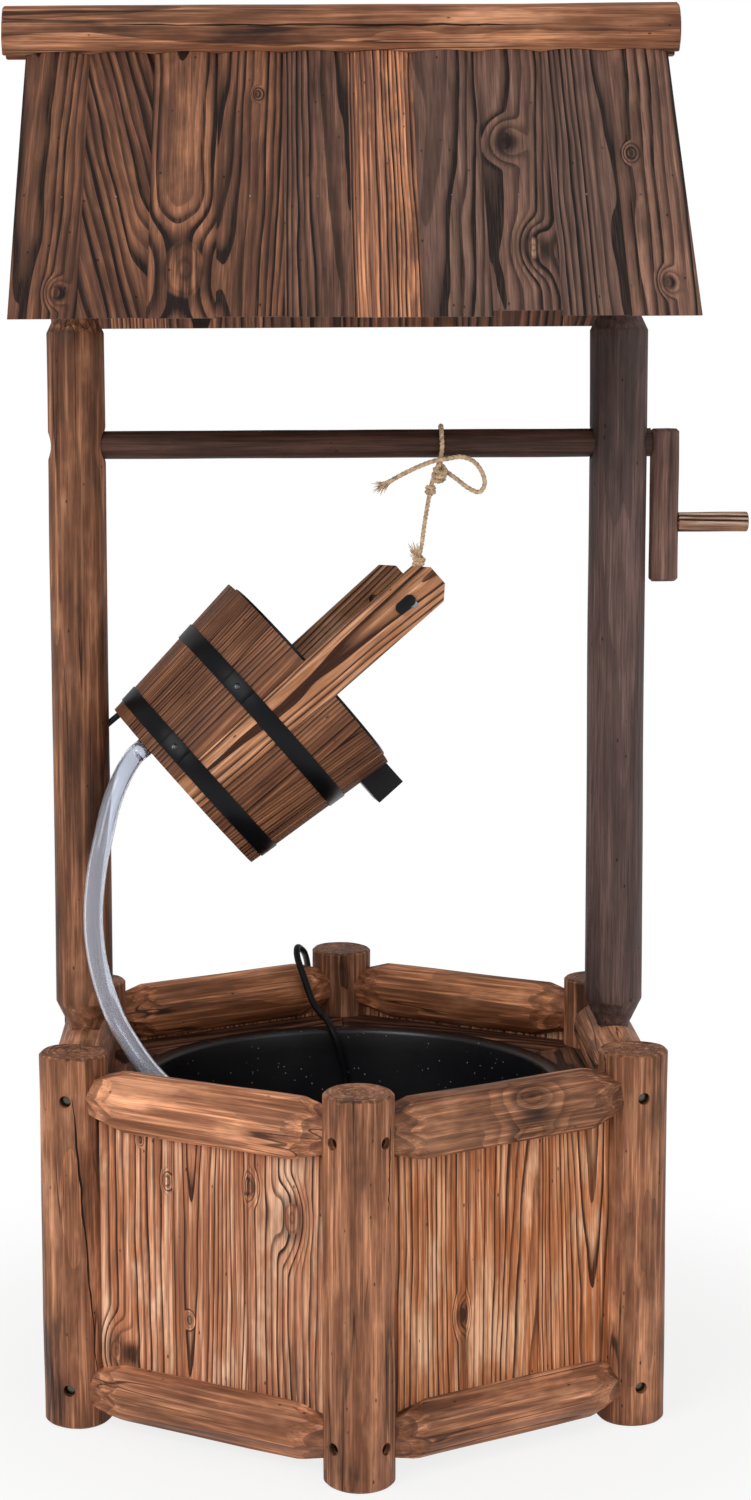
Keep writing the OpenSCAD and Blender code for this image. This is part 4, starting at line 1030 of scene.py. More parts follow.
class FOUNTAIN_OT_mains_lead(bpy.types.Operator):
    """Makes the pump's lead, its coil behind the well and its plug"""
    bl_idname = "fountain.mains_lead"
    bl_label = "Mains Lead"

    def execute(self, context):
        width = context.scene.fountain_cords.cable
        # Out of the gland, over the basin's floor and wall and the back rail, and down to the ground
        route = well(
            (-50, 29, 92), (-50, 34, 92), (-49, 44, 88), (-45, 58, 80), (-38, 76, 75.6), (-28, 99, 75.6),
            (-14, 122, 77), (-4, 138, 86), (1, 148, 106), (2, 153, 135), (2, 157, 170), (1, 159.5, 200),
            (-4, 158.5, 222), (-9, 160, 240), (-15, 170, 250.5), (-20, 186, 252), (-28, 198, 262),
            (-35, 205, 281), (-41, 214, 298), (-41, 225, 305.5), (-36, 238, 300), (-33, 252, 291),
            (-31, 265, 277), (-30, 274, 255), (-30, 278, 220), (-31, 280, 180), (-33, 282, 130), (-37, 285, 80),
            (-44, 289, 45), (-58, 293, 20), (-78, 297, 7), (-100, 299, COIL_Z), (-125, 299, COIL_Z),
            (COIL_X + 6, COIL_Y + COIL_WIDE, COIL_Z))
        x, y, z = coil_ring(5)
        path = [at(-50, 25, 92), *spline(route, 5), *well(
            (COIL_X, COIL_Y + COIL_WIDE, COIL_Z), *(coil_ring(k / 24) for k in range(1, 120)),
            (x - 8, y + 0.3, z), (x - 16, y + 0.8, z - 0.2), (PLUG_X + 18, PLUG_Y, 9.4), (PLUG_X + 10, PLUG_Y, 7.6),
            (PLUG_X + 4, PLUG_Y, PLUG_Z), (PLUG_X, PLUG_Y, PLUG_Z))]
        rubber = moulded_plastic("pvc_lead", rough=0.45, grit=0.0002)
        lead = finish_piece("mains_lead", tube(path, width / 2, sides=16), "base", rubber, "black_cable",
                            "pump_cable", "cable_coil")
        plug = self.plug(width / 2, moulded_plastic("moulded_pvc_plug", rough=0.42))
        tie = dress("coil_tie", "base", rubber, "black_cable")
        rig.cord(lead, exit=path[0], length=path_length(path), diameter=width, far_end="plug",
                stiffness="medium", lay="coiled", path=path, with_pieces=[plug, tie])
        return {"FINISHED"}

    def plug(self, r, rubber):
        """The plug, with a ribbed strain relief and two flat blades."""
        ribs = [(0, r + 0.0004)]
        for k in range(6):
            z, wide = 0.002 + k * 0.0032, r + 0.0006 + k * 0.00034
            ribs += [(z, wide), (z + 0.0004, wide + 0.0006), (z + 0.0016, wide + 0.0006), (z + 0.002, wide)]
        relief = turned(ribs + [(0.022, r + 0.0025)], 32)
        body = block((0, 0, 0.038), (0.014, 0.024, 0.032))
        edit(body)
        pick("FACE", lambda p: all(v.z < 0.023 for v in p))
        bpy.ops.transform.resize(value=(0.8, 0.62, 1), center_override=(0, 0, 0.022))
        ease("EDGE", lambda p: abs(p[0].z - p[1].z) > 0.02, 0.004, 4)
        ease("FACE", lambda p: all(v.z > 0.0539 for v in p), 0.0012, 3)
        done()
        nickel = steel("nickel_blades", "#b9bcc0", 0.25)
        parts = [(relief, rubber), (body, rubber)]
        for side in (-1, 1):
            blade = block((0, side * 0.00635, 0.0615), (0.0064, 0.0016, 0.017))
            edit(blade)
            ease("EDGE", lambda p: all(v.z > 0.069 for v in p), 0.0006)
            done()
            parts.append((blade, nickel))
        for part, material in parts:
            part.data.materials.append(material)
        plug = put(join([part for part, _ in parts]), shift(*at(PLUG_X, PLUG_Y, PLUG_Z)) @ spin(-pi / 2, "Y"))
        return finish_piece("mains_plug", smooth(plug, 40), "base", None, "black_plastic", "plug")


# Stage

class FOUNTAIN_OT_stage(bpy.types.Operator):
    """Lays a pale floor and sets soft lamps"""
    bl_idname = "fountain.stage"
    bl_label = "Stage"

    def execute(self, context):
        stage = context.scene.fountain_stage
        bpy.ops.object.select_all(action="DESELECT")
        bpy.ops.mesh.primitive_plane_add(size=14)
        floor = context.object
        floor.name = "studio_floor"
        floor.data.materials.append(self.floor_paper(tuple(stage.floor)))
        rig.stage(floor)
        for name, place, width, power in (
                ("key_lamp", (-1.7, -2.3, 2.2), 1.6, stage.key), ("fill_lamp", (2.2, -2.0, 1.3), 2.0, stage.fill)):
            bpy.ops.object.light_add(type="AREA", location=place)
            lamp = context.object
            lamp.name = name
            lamp.data.size, lamp.data.energy = width, power
            lamp.rotation_euler = (Vector((0, 0, 0.5)) - Vector(place)).to_track_quat("-Z", "Y").to_euler()
        self.sky(context.scene, stage.sky)
        context.scene.view_settings.view_transform = "Standard"
        return {"FINISHED"}

    def floor_paper(self, shade):
        """Seamless paper: it takes the shadow and goes over to plain white further out."""
        material, add, shader = blank("seamless_paper")
        wire(shader, {"Base Color": shade, "Roughness": 0.9})
        reach = add("VectorMath LENGTH", add("TexCoord", out="Object"))
        far = add("MapRange SMOOTHSTEP", reach, 0.26, 0.6, 0.82, 1)
        rays = add("LightPath").node.outputs
        seen = add("Math MAXIMUM", rays["Is Camera Ray"], rays["Is Glossy Ray"])
        seen = add("Math MAXIMUM", seen, rays["Is Transmission Ray"])
        white = add("Emission", (1, 1, 1), 1)
        mixed = add("MixShader", add("Math MULTIPLY", seen, far), shader.outputs[0], white)
        wire(material.node_tree.nodes["Material Output"], {"Surface": mixed})
        return material

    def sky(self, scene, strength):
        """Even light from all round, which the camera and clear plastic see as white."""
        scene.world = bpy.data.worlds.new("studio")
        scene.world.use_nodes = True
        tree = scene.world.node_tree
        tree.nodes.clear()
        rays = add_node(tree, "LightPath").node.outputs
        seen = add_node(tree, "Math MAXIMUM", rays["Is Camera Ray"], rays["Is Transmission Ray"])
        light = add_node(tree, "Mix", seen, A=strength, B=1.0)
        shine = add_node(tree, "Background", (1, 1, 1), light)
        wire(tree.nodes.new("ShaderNodeOutputWorld"), {"Surface": shine})


# Base

CORNERS = ("front_post", "front_right_post", "back_right_post", "back_post", "back_left_post", "front_left_post")
SIDES = ("front_right", "right", "back_right", "back_left", "left", "front_left")
# The heights of the middles of the rails
TOP_Z, LOW_Z = 0.265, 0.0315
# How bright each post is, from the front one round by the right
POST_TONES = (1.1, 0.99, 0.95, 0.8, 0.95, 1.03)
# The long drying crack of each post, from a turn and height to another
CRACKS = (((0.9, 0.2), (1.1, 0.29)), ((-2.0, 0.25), (-2.15, 0.302)), ((1, 0.1), (1.4, 0.28)),
          ((-1, 0.05), (-1.3, 0.2)), ((2.4, 0.12), (2.2, 0.3)), ((1.76, 0.03), (0.98, 0.296)))
# How bright, how burnt and how grey each rail is, from the front right one round by the right
RAIL_LOOKS = {
    "top": ((0.8, 1.6, 0), (1, 1, 0), (1.24, 0.8, -0.05), (1.26, 0.8, -0.05), (1, 1, 0), (1.56, 0.4, 0)),
    "low": ((1.08, 0.9, 0), (0.9, 1, 0), (0.9, 1, 0), (0.9, 1, 0), (0.9, 1, 0), (1.3, 0.8, 0)),
}
# How bright each panel is, in the same order, and how grey the boards of the first one are
PANEL_TONES, FIRST_GREY = (1.0, 0.88, 0.85, 0.85, 0.88, 1.05), -0.08
# The knots of the two front panels: place and radius
PANEL_KNOTS = (
    (-0.1726, -0.1753, 0.2083, 0.0022), (-0.1066, -0.2134, 0.2149, 0.0032), (-0.0757, -0.2312, 0.1962, 0.0068),
    (-0.2137, -0.1516, 0.0637, 0.0068), (-0.1548, -0.1856, 0.1008, 0.0018), (-0.193, -0.1635, 0.2376, 0.0016),
    (0.0536, -0.2137, 0.1136, 0.004),
)


def round_well(degrees, x=0, y=0, z=0):
    """A place on the base, turned round the well's axis."""
    return AXIS @ spin(radians(degrees)) @ shift(x, y, z)


def side_reach(sizes):
    """How far the middle of a side is from the well's axis, and half the free length between two posts."""
    return sizes.post_circle * cos(radians(30)), sizes.post_circle / 2 - sizes.post_width / 2


class FOUNTAIN_OT_posts(bpy.types.Operator):
    """Makes the six posts with the counterbores of their screws"""
    bl_idname = "fountain.posts"
    bl_label = "Posts"

    def execute(self, context):
        sizes = context.scene.fountain_base
        wood = log_fir("scorched_fir_post", edge=0.25)
        # What the drill takes out for the heads of the four screws of one post
        drill = join([put(rod(0.0048, -0.05, -0.019, 28), spin(radians(turn)) @ shift(0, 0, z) @ spin(pi / 2, "Y"))
                      for turn in (-132, 132) for z in (LOW_Z, TOP_Z)])
        master = log(sizes.post_width / 2, 0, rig.box("front_post")[1].z, chamfer=0.002)
        for i, name in enumerate(CORNERS):
            post = uneven(copy_of(master), sizes.unevenness, 0.045, 0.12, i + 1)
            subtract(post, copy_of(drill))
            path = crack(post, *CRACKS[i], i)
            set_log(name + "_log", post, round_well(-90 + 60 * i, sizes.post_circle), "base", wood, "post_wood", name,
                    38, path, pith=(0.003, 0.002), slope=(0.004, 0.006), seed=i, tone=POST_TONES[i])
        remove(master, drill)
        return {"FINISHED"}


class FOUNTAIN_OT_rails(bpy.types.Operator):
    """Makes the twelve rails with whittled ends"""
    bl_idname = "fountain.rails"
    bl_label = "Rails"

    def execute(self, context):
        sizes = context.scene.fountain_base
        middle, neck = side_reach(sizes)
        wood = log_fir("scorched_fir_rail", blotch=0.65, edge=0.75)
        for level, width, z, first in (
                ("top", sizes.top_rail_width, TOP_Z, 20), ("low", sizes.low_rail_width, LOW_Z, 40)):
            master = log(width / 2, -neck - 0.01, neck + 0.01)
            for i, place in enumerate(SIDES):
                seed = first + i
                rail = uneven(copy_of(master), sizes.unevenness * 0.8, 0.05, 0.12, seed)
                self.whittle(rail, neck, width / 2, sizes.rail_cone, seed)
                tone, burn, grey = RAIL_LOOKS[level][i]
                set_log(f"{place}_{level}_log", rail, round_well(-60 + 60 * i, middle, 0, z) @ spin(pi / 2, "X"),
                        "base", wood, "rail_wood", f"{place}_{level}_rail", 16, pith=(0.002, 0.003),
                        slope=(0.006, 0.004), seed=seed, tone=tone, burn=burn, grey=grey,
                        glow=1.3 if burn > 1 else 1)
            remove(master)
        return {"FINISHED"}

    def whittle(self, rail, tip, radius, cone, seed):
        """Cuts flat strokes round the ends, and takes two long ones off the side as the peeling knife did."""
        spigot = 0.0175
        for way in (-1, 1):
            chance = random.Random(seed * 2 + (way > 0))
            saw(rail, *strokes(chance, 7, chance.uniform(0, 2 * pi), 0.16, atan2(radius - spigot, cone),
                               (0.86, 1.12), spigot - 0.0004, way * tip, way))
        chance = random.Random(seed)
        for out in (around(chance.uniform(-0.9, -0.2)), around(chance.uniform(0.3, 1.1))):
            saw(rail, (out * (radius - 0.0011), out + Vector((0, 0, chance.uniform(-0.012, 0.012)))))


class FOUNTAIN_OT_panels(bpy.types.Operator):
    """Makes the six panels of upright boards"""
    bl_idname = "fountain.panels"
    bl_label = "Panels"

    def execute(self, context):
        middle, half = side_reach(context.scene.fountain_base)
        # The outer boards go a little into the posts
        width = 2 * (half + 0.0012) / 3
        wood = fir("scorched_fir_panel", "panel_early panel_bright panel_late", wander=2.6, contrast=1.5,
                   blotch=0.55, edge=0.3, knots=PANEL_KNOTS, stretch=(1, 1, 0.6), summer=0.55, sawn=0.2)
        master = plank(width - 0.0004, 0.01, 0.0485, 0.247, 6, 16, 0.0008)
        for i, place in enumerate(SIDES):
            boards = []
            for k in range(3):
                chance = random.Random(i * 7 + k)
                board = smooth(uneven(copy_of(master), 0.0008, 0.05, 0.2, i * 3 + k))
                quarter = chance.choice((-1, 1)) * chance.uniform(0.015, 0.06)
                stamp(board, pith=(quarter, chance.uniform(0.012, 0.04)),
                      slope=(chance.uniform(-0.02, 0.02), chance.uniform(-0.05, 0.05)), seed=i * 3 + k,
                      tone=PANEL_TONES[i] * chance.uniform(0.92, 1.08), burn=chance.uniform(0.7, 1.4),
                      glow=chance.uniform(0.9, 1.5), zoom=chance.uniform(0.8, 1.25), grey=0 if i else FIRST_GREY)
                boards.append(put(board, round_well(-60 + 60 * i, middle + 0.005, (k - 1) * width) @ spin(pi / 2)))
            finish_piece(place + "_boards", join(boards), "base", wood, "panel_wood", place + "_panel")
        remove(master)
        return {"FINISHED"}


class FOUNTAIN_OT_deck(bpy.types.Operator):
    """Makes the deck round the basin, its battens and the basin"""
    bl_idname = "fountain.deck"
    bl_label = "Deck and Basin"

    def execute(self, context):
        wood = roof_fir("scorched_fir_deck")
        for node, tone in (("deck_boards", 0.95), ("deck_battens", 0.8)):
            sawn_copy(node, wood, "deck_wood", tone, 60)
        # The basin is a flared tub with a rolled flange that lies on the deck
        outer = [(0.0695, 0.1465), (0.0702, 0.1497), (0.0722, 0.1518), (0.0755, 0.153)]
        outer += [(0.0755 + 0.1635 * k / 12, 0.153 + 0.0174 * k / 12) for k in range(1, 13)]
        rim = [(0.24, 0.1712), (0.24, 0.182), (0.2403, 0.1827), (0.2412, 0.183), (0.2421, 0.1827), (0.2425, 0.182)]
        inner = [(0.2425, 0.1705), (0.2422, 0.1692), (0.241, 0.1683), (0.239, 0.1678)]
        inner += [(0.239 - 0.161 * k / 12, 0.1678 - 0.0172 * k / 12) for k in range(1, 13)]
        inner += [(0.0745, 0.1494), (0.0728, 0.1475), (0.072, 0.1445), (0.072, 0.1), (0.072, 0.05), (0.072, 0.01)]
        basin = smooth(put(turned(outer + rim + inner, 160), AXIS), 40)
        finish_piece("basin_moulding", basin, "base",
                     moulded_plastic("moulded_basin", rough=0.3, gloss=0.5, drops_with_painted_glints=True), "black_plastic", "basin")
        # The screw heads take a dark zinc colour: painted shade of the counterbores they sit in
        dress("rail_screws", "base", steel("zinc_plated_screws", "#5c574f", 0.25), "bright_steel")
        return {"FINISHED"}


# The heights of the axes of the crossbar, the crank's handle and the ridge log
BAR_Z, HANDLE_Z, RIDGE_Z = 0.7705, 0.7055, 1.097
# The radius of the tenons of the uprights, and the heights from below where an upright's lower tenon begins and
# ends, where it is full, where it stops being full, and where its upper tenon begins and ends
TENON = 0.0132
UPRIGHT_Z = (0.272, 0.29, 0.311, 0.861, 0.882, 0.9)


class FOUNTAIN_OT_uprights(bpy.types.Operator):
    """Makes the two uprights with the bores that the crossbar turns in"""
    bl_idname = "fountain.uprights"
    bl_label = "Uprights"

    def execute(self, context):
        sizes = context.scene.fountain_base
        radius = sizes.upright_width / 2
        left = log_fir("scorched_fir_left_upright", blotch=0.6, edge=0.2)
        right = fir("scorched_fir_right_upright", "#65504b #7b605a #382927", wander=3.2, contrast=0.5, blotch=0.6,
                    edge=0.2)
        for name, sign, tone, wood in (("left_upright", -1, 0.76, left), ("right_upright", 1, 0.92, right)):
            upright = uneven(self.shape(radius), sizes.unevenness * 0.8, 0.05, 0.2, 70 + sign)
            chance = random.Random(70 + sign)
            cone = 0.021
            for tip, way in ((UPRIGHT_Z[1], -1), (UPRIGHT_Z[4], 1)):
                saw(upright, *strokes(chance, 9, 0, 0.2, atan2(radius - TENON, cone), (0.94, 1.05), TENON + 0.0004,
                                      tip, way))
            # The bearing of the crossbar has a scooped mouth on the inner side
            bore = turned([(-0.05, 0.0121), (radius - 0.003, 0.0121), (radius + 0.004, 0.0172),
                           (radius + 0.02, 0.0172)], 48)
            subtract(upright, put(bore, shift(0, 0, BAR_Z) @ spin(-sign * pi / 2, "Y")))
            set_log(name + "_log", upright, AXIS @ shift(sign * side_reach(sizes)[0], 0, 0), "base", wood, "dark_wood",
                    name, 28, pith=(0.003, 0.003), slope=(0.003, 0.002), seed=71 + sign, tone=tone)
        return {"FINISHED"}

    def shape(self, radius):
        """A log with a tenon and a cone at each end."""
        low, neck_low, full_low, full_high, neck_high, high = UPRIGHT_Z
        profile = [(low, TENON)]
        profile += [(neck_low + (full_low - neck_low) * k / 5, TENON + (radius - TENON) * k / 5) for k in range(5)]
        profile += [(full_low + (full_high - full_low) * k / 68, radius) for k in range(68)]
        profile += [(full_high + (neck_high - full_high) * k / 5, radius + (TENON - radius) * k / 5) for k in range(6)]
        return turned(profile + [(high, TENON)])


# Roof

# Each front board as sawn: tone, burn, glow, greyness, pith across and in, slope of the pith across and in, and
# ring zoom
FRONT_BOARDS = (
    (0.94, 0.9, 0.5, 0, 0.016, 0.03, 0.02, 0.01, 1.1), (0.9, 1.2, 0.6, 0, -0.05, 0.01, -0.2, 0.05, 1.7),
    (1.14, 0.6, 0.8, 0, 0.002, 0.012, 0.0, 0.03, 1.3), (1.0, 0.9, 0.6, 0, 0.04, 0.03, 0.03, 0.01, 1.2),
    (0.96, 1.0, 0.5, 0.1, -0.03, 0.03, 0.01, 0.02, 0.9), (1.72, 0.5, 1.4, 0, -0.05, 0.006, 0.0, 0.0, 0.72),
    (1.1, 0.7, 0.2, 0.2, 0.02, 0.05, 0.02, 0.01, 1.1), (1.04, 0.8, 0.3, 0.18, 0.02, 0.04, 0.03, 0.01, 1.1),
    (1.0, 0.6, 0.3, 0.22, -0.035, 0.03, 0.01, 0.01, 0.9), (1.08, 0.6, 0.6, 0.15, 0.03, 0.03, 0.01, 0.01, 1.2),
)
# Their knots: board, place across in shares of the half width, height, and radius
FRONT_KNOTS = (
    (2, 0.1, 0.905, 0.014), (0, 0.35, 0.888, 0.004), (7, -0.3, 1.005, 0.006), (7, 0.3, 0.92, 0.0075),
    (9, -0.55, 0.995, 0.003), (9, 0.1, 0.893, 0.004), (3, 0.2, 1.045, 0.002),
)
# How much higher than the eave each front board ends
EAVE_TRIM = (0, 0.0005, 0, 0.001, 0.0005, 0, 0, 0.0045, 0.0005, 0)


def roof_plank(roof, width):
    """A board of the roof, hung from the peak, whose outer face falls off towards its long edges."""
    fall = (roof.peak - roof.eave + 0.02) / sin(roof.pitch)
    board = plank(width, roof.board_thickness, -fall, 0.02, 10, 44, 0.0007)
    columns = sorted({round(v.co.x, 6) for v in board.data.vertices})
    edit(board)
    for x in columns:
        drop = roof.crown * (2 * x / width) ** 2
        if drop > 1e-6:
            pick("VERT", lambda p: abs(p[0].x - x) < 1e-6 and p[0].y < 0.004)
            bpy.ops.transform.translate(value=(0, drop, 0))
    done()
    return board


def roof_place(roof, k, back):
    """Where board k of a slope hangs, counted from the left as seen from outside."""
    return (AXIS @ spin(pi * back) @ shift((k - 4.5) * roof.board_pitch, 0, roof.peak)
            @ spin(roof.pitch - pi / 2, "X"))


class FOUNTAIN_OT_roof_frame(bpy.types.Operator):
    """Makes the gable logs, rafters, battens and brads under the roof"""
    bl_idname = "fountain.roof_frame"
    bl_label = "Roof Frame"

    def execute(self, context):
        wood = roof_fir("scorched_fir_batten")
        for node, tone in (("gable_frames", 0.85), ("roof_battens", 0.95)):
            sawn_copy(node, wood, "dark_wood", tone, 80)
        dress("roof_brads", "base", steel("steel_brads", "#8b8d90", 0.4), "bright_steel", bevel=0)
        return {"FINISHED"}


class FOUNTAIN_OT_roof_boards(bpy.types.Operator):
    """Makes the twenty boards of the roof"""
    bl_idname = "fountain.roof_boards"
    bl_label = "Roof Boards"

    def execute(self, context):
        sizes = context.scene.fountain_roof
        width = sizes.board_pitch + sizes.board_lap
        master = roof_plank(sizes, width)
        knots = [(WELL_X + (k - 4.5 + u / 2) * sizes.board_pitch,
                  -(sizes.peak - z) / sin(sizes.pitch) * cos(sizes.pitch), z, size) for k, u, z, size in FRONT_KNOTS]
        fronts = roof_fir("scorched_fir_roof_front", knots=knots)
        backs = roof_fir("scorched_fir_roof_back", random_knots=0.3)
        for back, wood, node in ((False, fronts, "front_roof_boards"), (True, backs, "back_roof_boards")):
            boards = []
            way = 1 if back else -1
            for k in range(10):
                tone, burn, glow, grey, px, py, sx, sy, zoom = FRONT_BOARDS[(k * 3 + 1) % 10 if back else k]
                board = uneven(copy_of(master), 0.0009, 0.05, 0.25, 100 + k + 20 * back)
                stamp(board, pith=(px, py), slope=(sx, sy), seed=5 + k + 10 * back, tone=tone * (1.5 if back else 1),
                      burn=burn, glow=glow, grey=grey * (0.3 if back else 1), zoom=zoom, span=width / 2)
                saw(put(board, roof_place(sizes, k, back)), ((0, way * 0.00015, 0), (0, -way, 0)),
                    ((0, 0, sizes.eave + (0 if back else EAVE_TRIM[k])), (0, 0, -1)))
                boards.append(smooth(board, 28))
            finish_piece(node + "_sawn", join(boards), "base", wood, "roof_wood", node)
        remove(master)
        return {"FINISHED"}


class FOUNTAIN_OT_ridge(bpy.types.Operator):
    """Makes the ridge log that straddles the boards"""
    bl_idname = "fountain.ridge"
    bl_label = "Ridge Log"

    def execute(self, context):
        sizes, roof = context.scene.fountain_base, context.scene.fountain_roof
        low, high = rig.box("ridge_log")
        half = (high.x - low.x) / 2
        place = shift((low.x + high.x) / 2, 0, RIDGE_Z) @ spin(pi / 2, "Y")
        radius = 0.023
        ridge = uneven(log(radius, -half, half, chamfer=0.0012), sizes.unevenness, 0.05, 0.2, 31)
        subtract(ridge, put(self.saddle(roof, half), place.inverted()))
        # Each crowned board has its own hollow in the saddle
        master = roof_plank(roof, roof.board_pitch + 0.0001)
        for back in (False, True):
            for k in range(10):
                room = put(copy_of(master), roof_place(roof, k, back))
                saw(room, ((0, 0, 0), (0, -1 if back else 1, 0)))
                subtract(ridge, put(room, place.inverted() @ shift(0, 0, 0.0008)))
        remove(master)
        path = crack(ridge, (radians(-103), -0.8 * half), (radians(-99), 0.75 * half), 31)
        wood = log_fir("scorched_fir_ridge", contrast=0.75, edge=0.3)
        set_log("ridge_log_round", ridge, place, "base", wood, "dark_wood", "ridge_log", 35, path,
                pith=(0.004, 0.002), slope=(0.002, 0.003), seed=31, tone=1.07, burn=0.8)
        return {"FINISHED"}

    def saddle(self, roof, half):
        """The wedge of space that the two slopes take up under the log."""
        bpy.ops.object.select_all(action="DESELECT")
        bpy.ops.mesh.primitive_cylinder_add(vertices=3, radius=1, depth=4 * half)
        wedge = bpy.context.object
        peak = roof.peak + (0.0003 - roof.crown) / cos(roof.pitch)
        reach = 0.1
        fall = reach * sin(roof.pitch) / cos(roof.pitch)
        corners = [(0, peak), (reach, peak - fall), (-reach, peak - fall)]
        for vertex in wedge.data.vertices:
            spot = min(range(3), key=lambda k: (
                vertex.co.xy - Vector((sin(2 * pi * k / 3), cos(2 * pi * k / 3)))).length)
            vertex.co = (vertex.co.z, *corners[spot])
        edit(wedge)
        close()
        return wedge


class FOUNTAIN_OT_windlass(bpy.types.Operator):
    """Makes the crossbar, the crank arm and the handle"""
    bl_idname = "fountain.windlass"
    bl_label = "Windlass"

    def execute(self, context):
        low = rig.box("crossbar")[0]
        arm_low, arm_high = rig.box("crank_arm")
        handle_low, handle_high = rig.box("crank_handle")
        arm_x = (arm_low.x + arm_high.x) / 2
        bar_radius, tenon_radius, arm_radius = 0.01145, 0.006, 0.01175
        bar = uneven(log(bar_radius, low.x, arm_low.x, sides=64), 0.0009, 0.02, 0.12, 44)
        bar = join([bar, rod(tenon_radius, arm_low.x - 0.01, arm_x + 0.008)])
        arm = uneven(log(arm_radius, arm_low.z, arm_high.z, chamfer=0.0022, sides=64), 0.001, 0.02, 0.08, 45)
        handle = uneven(turned([
            (handle_low.x, 0.0045), (arm_high.x - 0.0002, 0.0045),
            *((arm_high.x + 0.0565 * k / 12, 0.008) for k in range(12)),
            (handle_high.x - 0.001, 0.008), (handle_high.x, 0.007)], 64), 0.0006, 0.02, 0.05, 46)
        along = spin(pi / 2, "Y")
        set_log("crossbar_stick", bar, shift(0, 0, BAR_Z) @ along, "windlass", fir(
            "burnt_fir_bar", "#4a332b #674436 #281b18", ring=0.003, wander=3, contrast=0.6, blotch=0.6, edge=0.1,
            rough=0.46), "bar_wood", "crossbar", pith=(0.002, 0.001), seed=44)
        set_log("crank_arm_stick", arm, shift(arm_x, 0, 0), "windlass", fir(
            "scorched_fir_arm", "#75574c #927065 #3b2c29", ring=0.003, contrast=0.7, edge=0.3),
            "dark_wood", "crank_arm", pith=(0.003, 0.002), slope=(0.01, 0.0), seed=45, tone=1.1)
        set_log("handle_stick", handle, shift(0, 0, HANDLE_Z) @ along, "windlass", fir(
            "scorched_fir_handle", "#b88468 #ffdcc0 #2a1812", ring=0.0036, wander=1, contrast=1.8, blotch=0.4,
            edge=0.3, summer=0.4), "rail_wood", "crank_handle", pith=(0.02, 0.004), slope=(0.03, 0.01), seed=46,
            glow=1.8)
        dress("crank_pins", "windlass", steel("steel_pins", "#8b8d90", 0.35), "bright_steel", bevel=0.0002)
        return {"FINISHED"}


# Bucket

# Y of a stave that stands at +X is across its grain, and -X goes into it
STAVE_TURN = Matrix(((0, 1, 0, 0), (-1, 0, 0, 0.0913), (0, 0, 1, 0), (0, 0, 0, 1)))
# The bottom's boards run along the bucket's X
BOTTOM_TURN = Matrix(((0, 1, 0, 0), (0, 0, 1, 0), (1, 0, 0, 0), (0, 0, 0, 1)))
# How far under an ear's top the rod goes through it
ROD_DOWN = 0.034


def flare_of(sizes):
    """How much wider the bucket is for each metre upwards."""
    return (sizes.rim_radius - sizes.low_radius) / sizes.height


def centred(obj):
    """Turns a piece round Z until its middle stands at +X."""
    middle = sum((v.co for v in obj.data.vertices), Vector())
    return put(obj, spin(-atan2(middle.y, middle.x)))


def band(low, high, inner_low, inner_high, thickness, angle, steps):
    """A wall from one height to another and from an inner radius outwards, spun round Z into a solid."""
    bpy.ops.object.select_all(action="DESELECT")
    bpy.ops.mesh.primitive_plane_add(size=1, rotation=(pi / 2, 0, 0))
    obj = put(bpy.context.object)
    edit(obj)
    bpy.ops.transform.resize(value=(thickness, 1, high - low), center_override=(0, 0, 0))
    bpy.ops.transform.translate(value=(inner_low + thickness / 2, 0, (low + high) / 2))
    pick("VERT", lambda p: p[0].z > (low + high) / 2)
    bpy.ops.transform.translate(value=(inner_high - inner_low, 0, 0))
    pick("FACE", lambda p: True)
    bpy.ops.mesh.spin(steps=steps, angle=angle, center=(0, 0, 0), axis=(0, 0, 1), dupli=False)
    bpy.ops.mesh.select_all(action="SELECT")
    bpy.ops.mesh.remove_doubles(threshold=1e-6)
    bpy.ops.mesh.select_all(action="SELECT")
    bpy.ops.mesh.fill_holes(sides=0)
    close()
    return obj


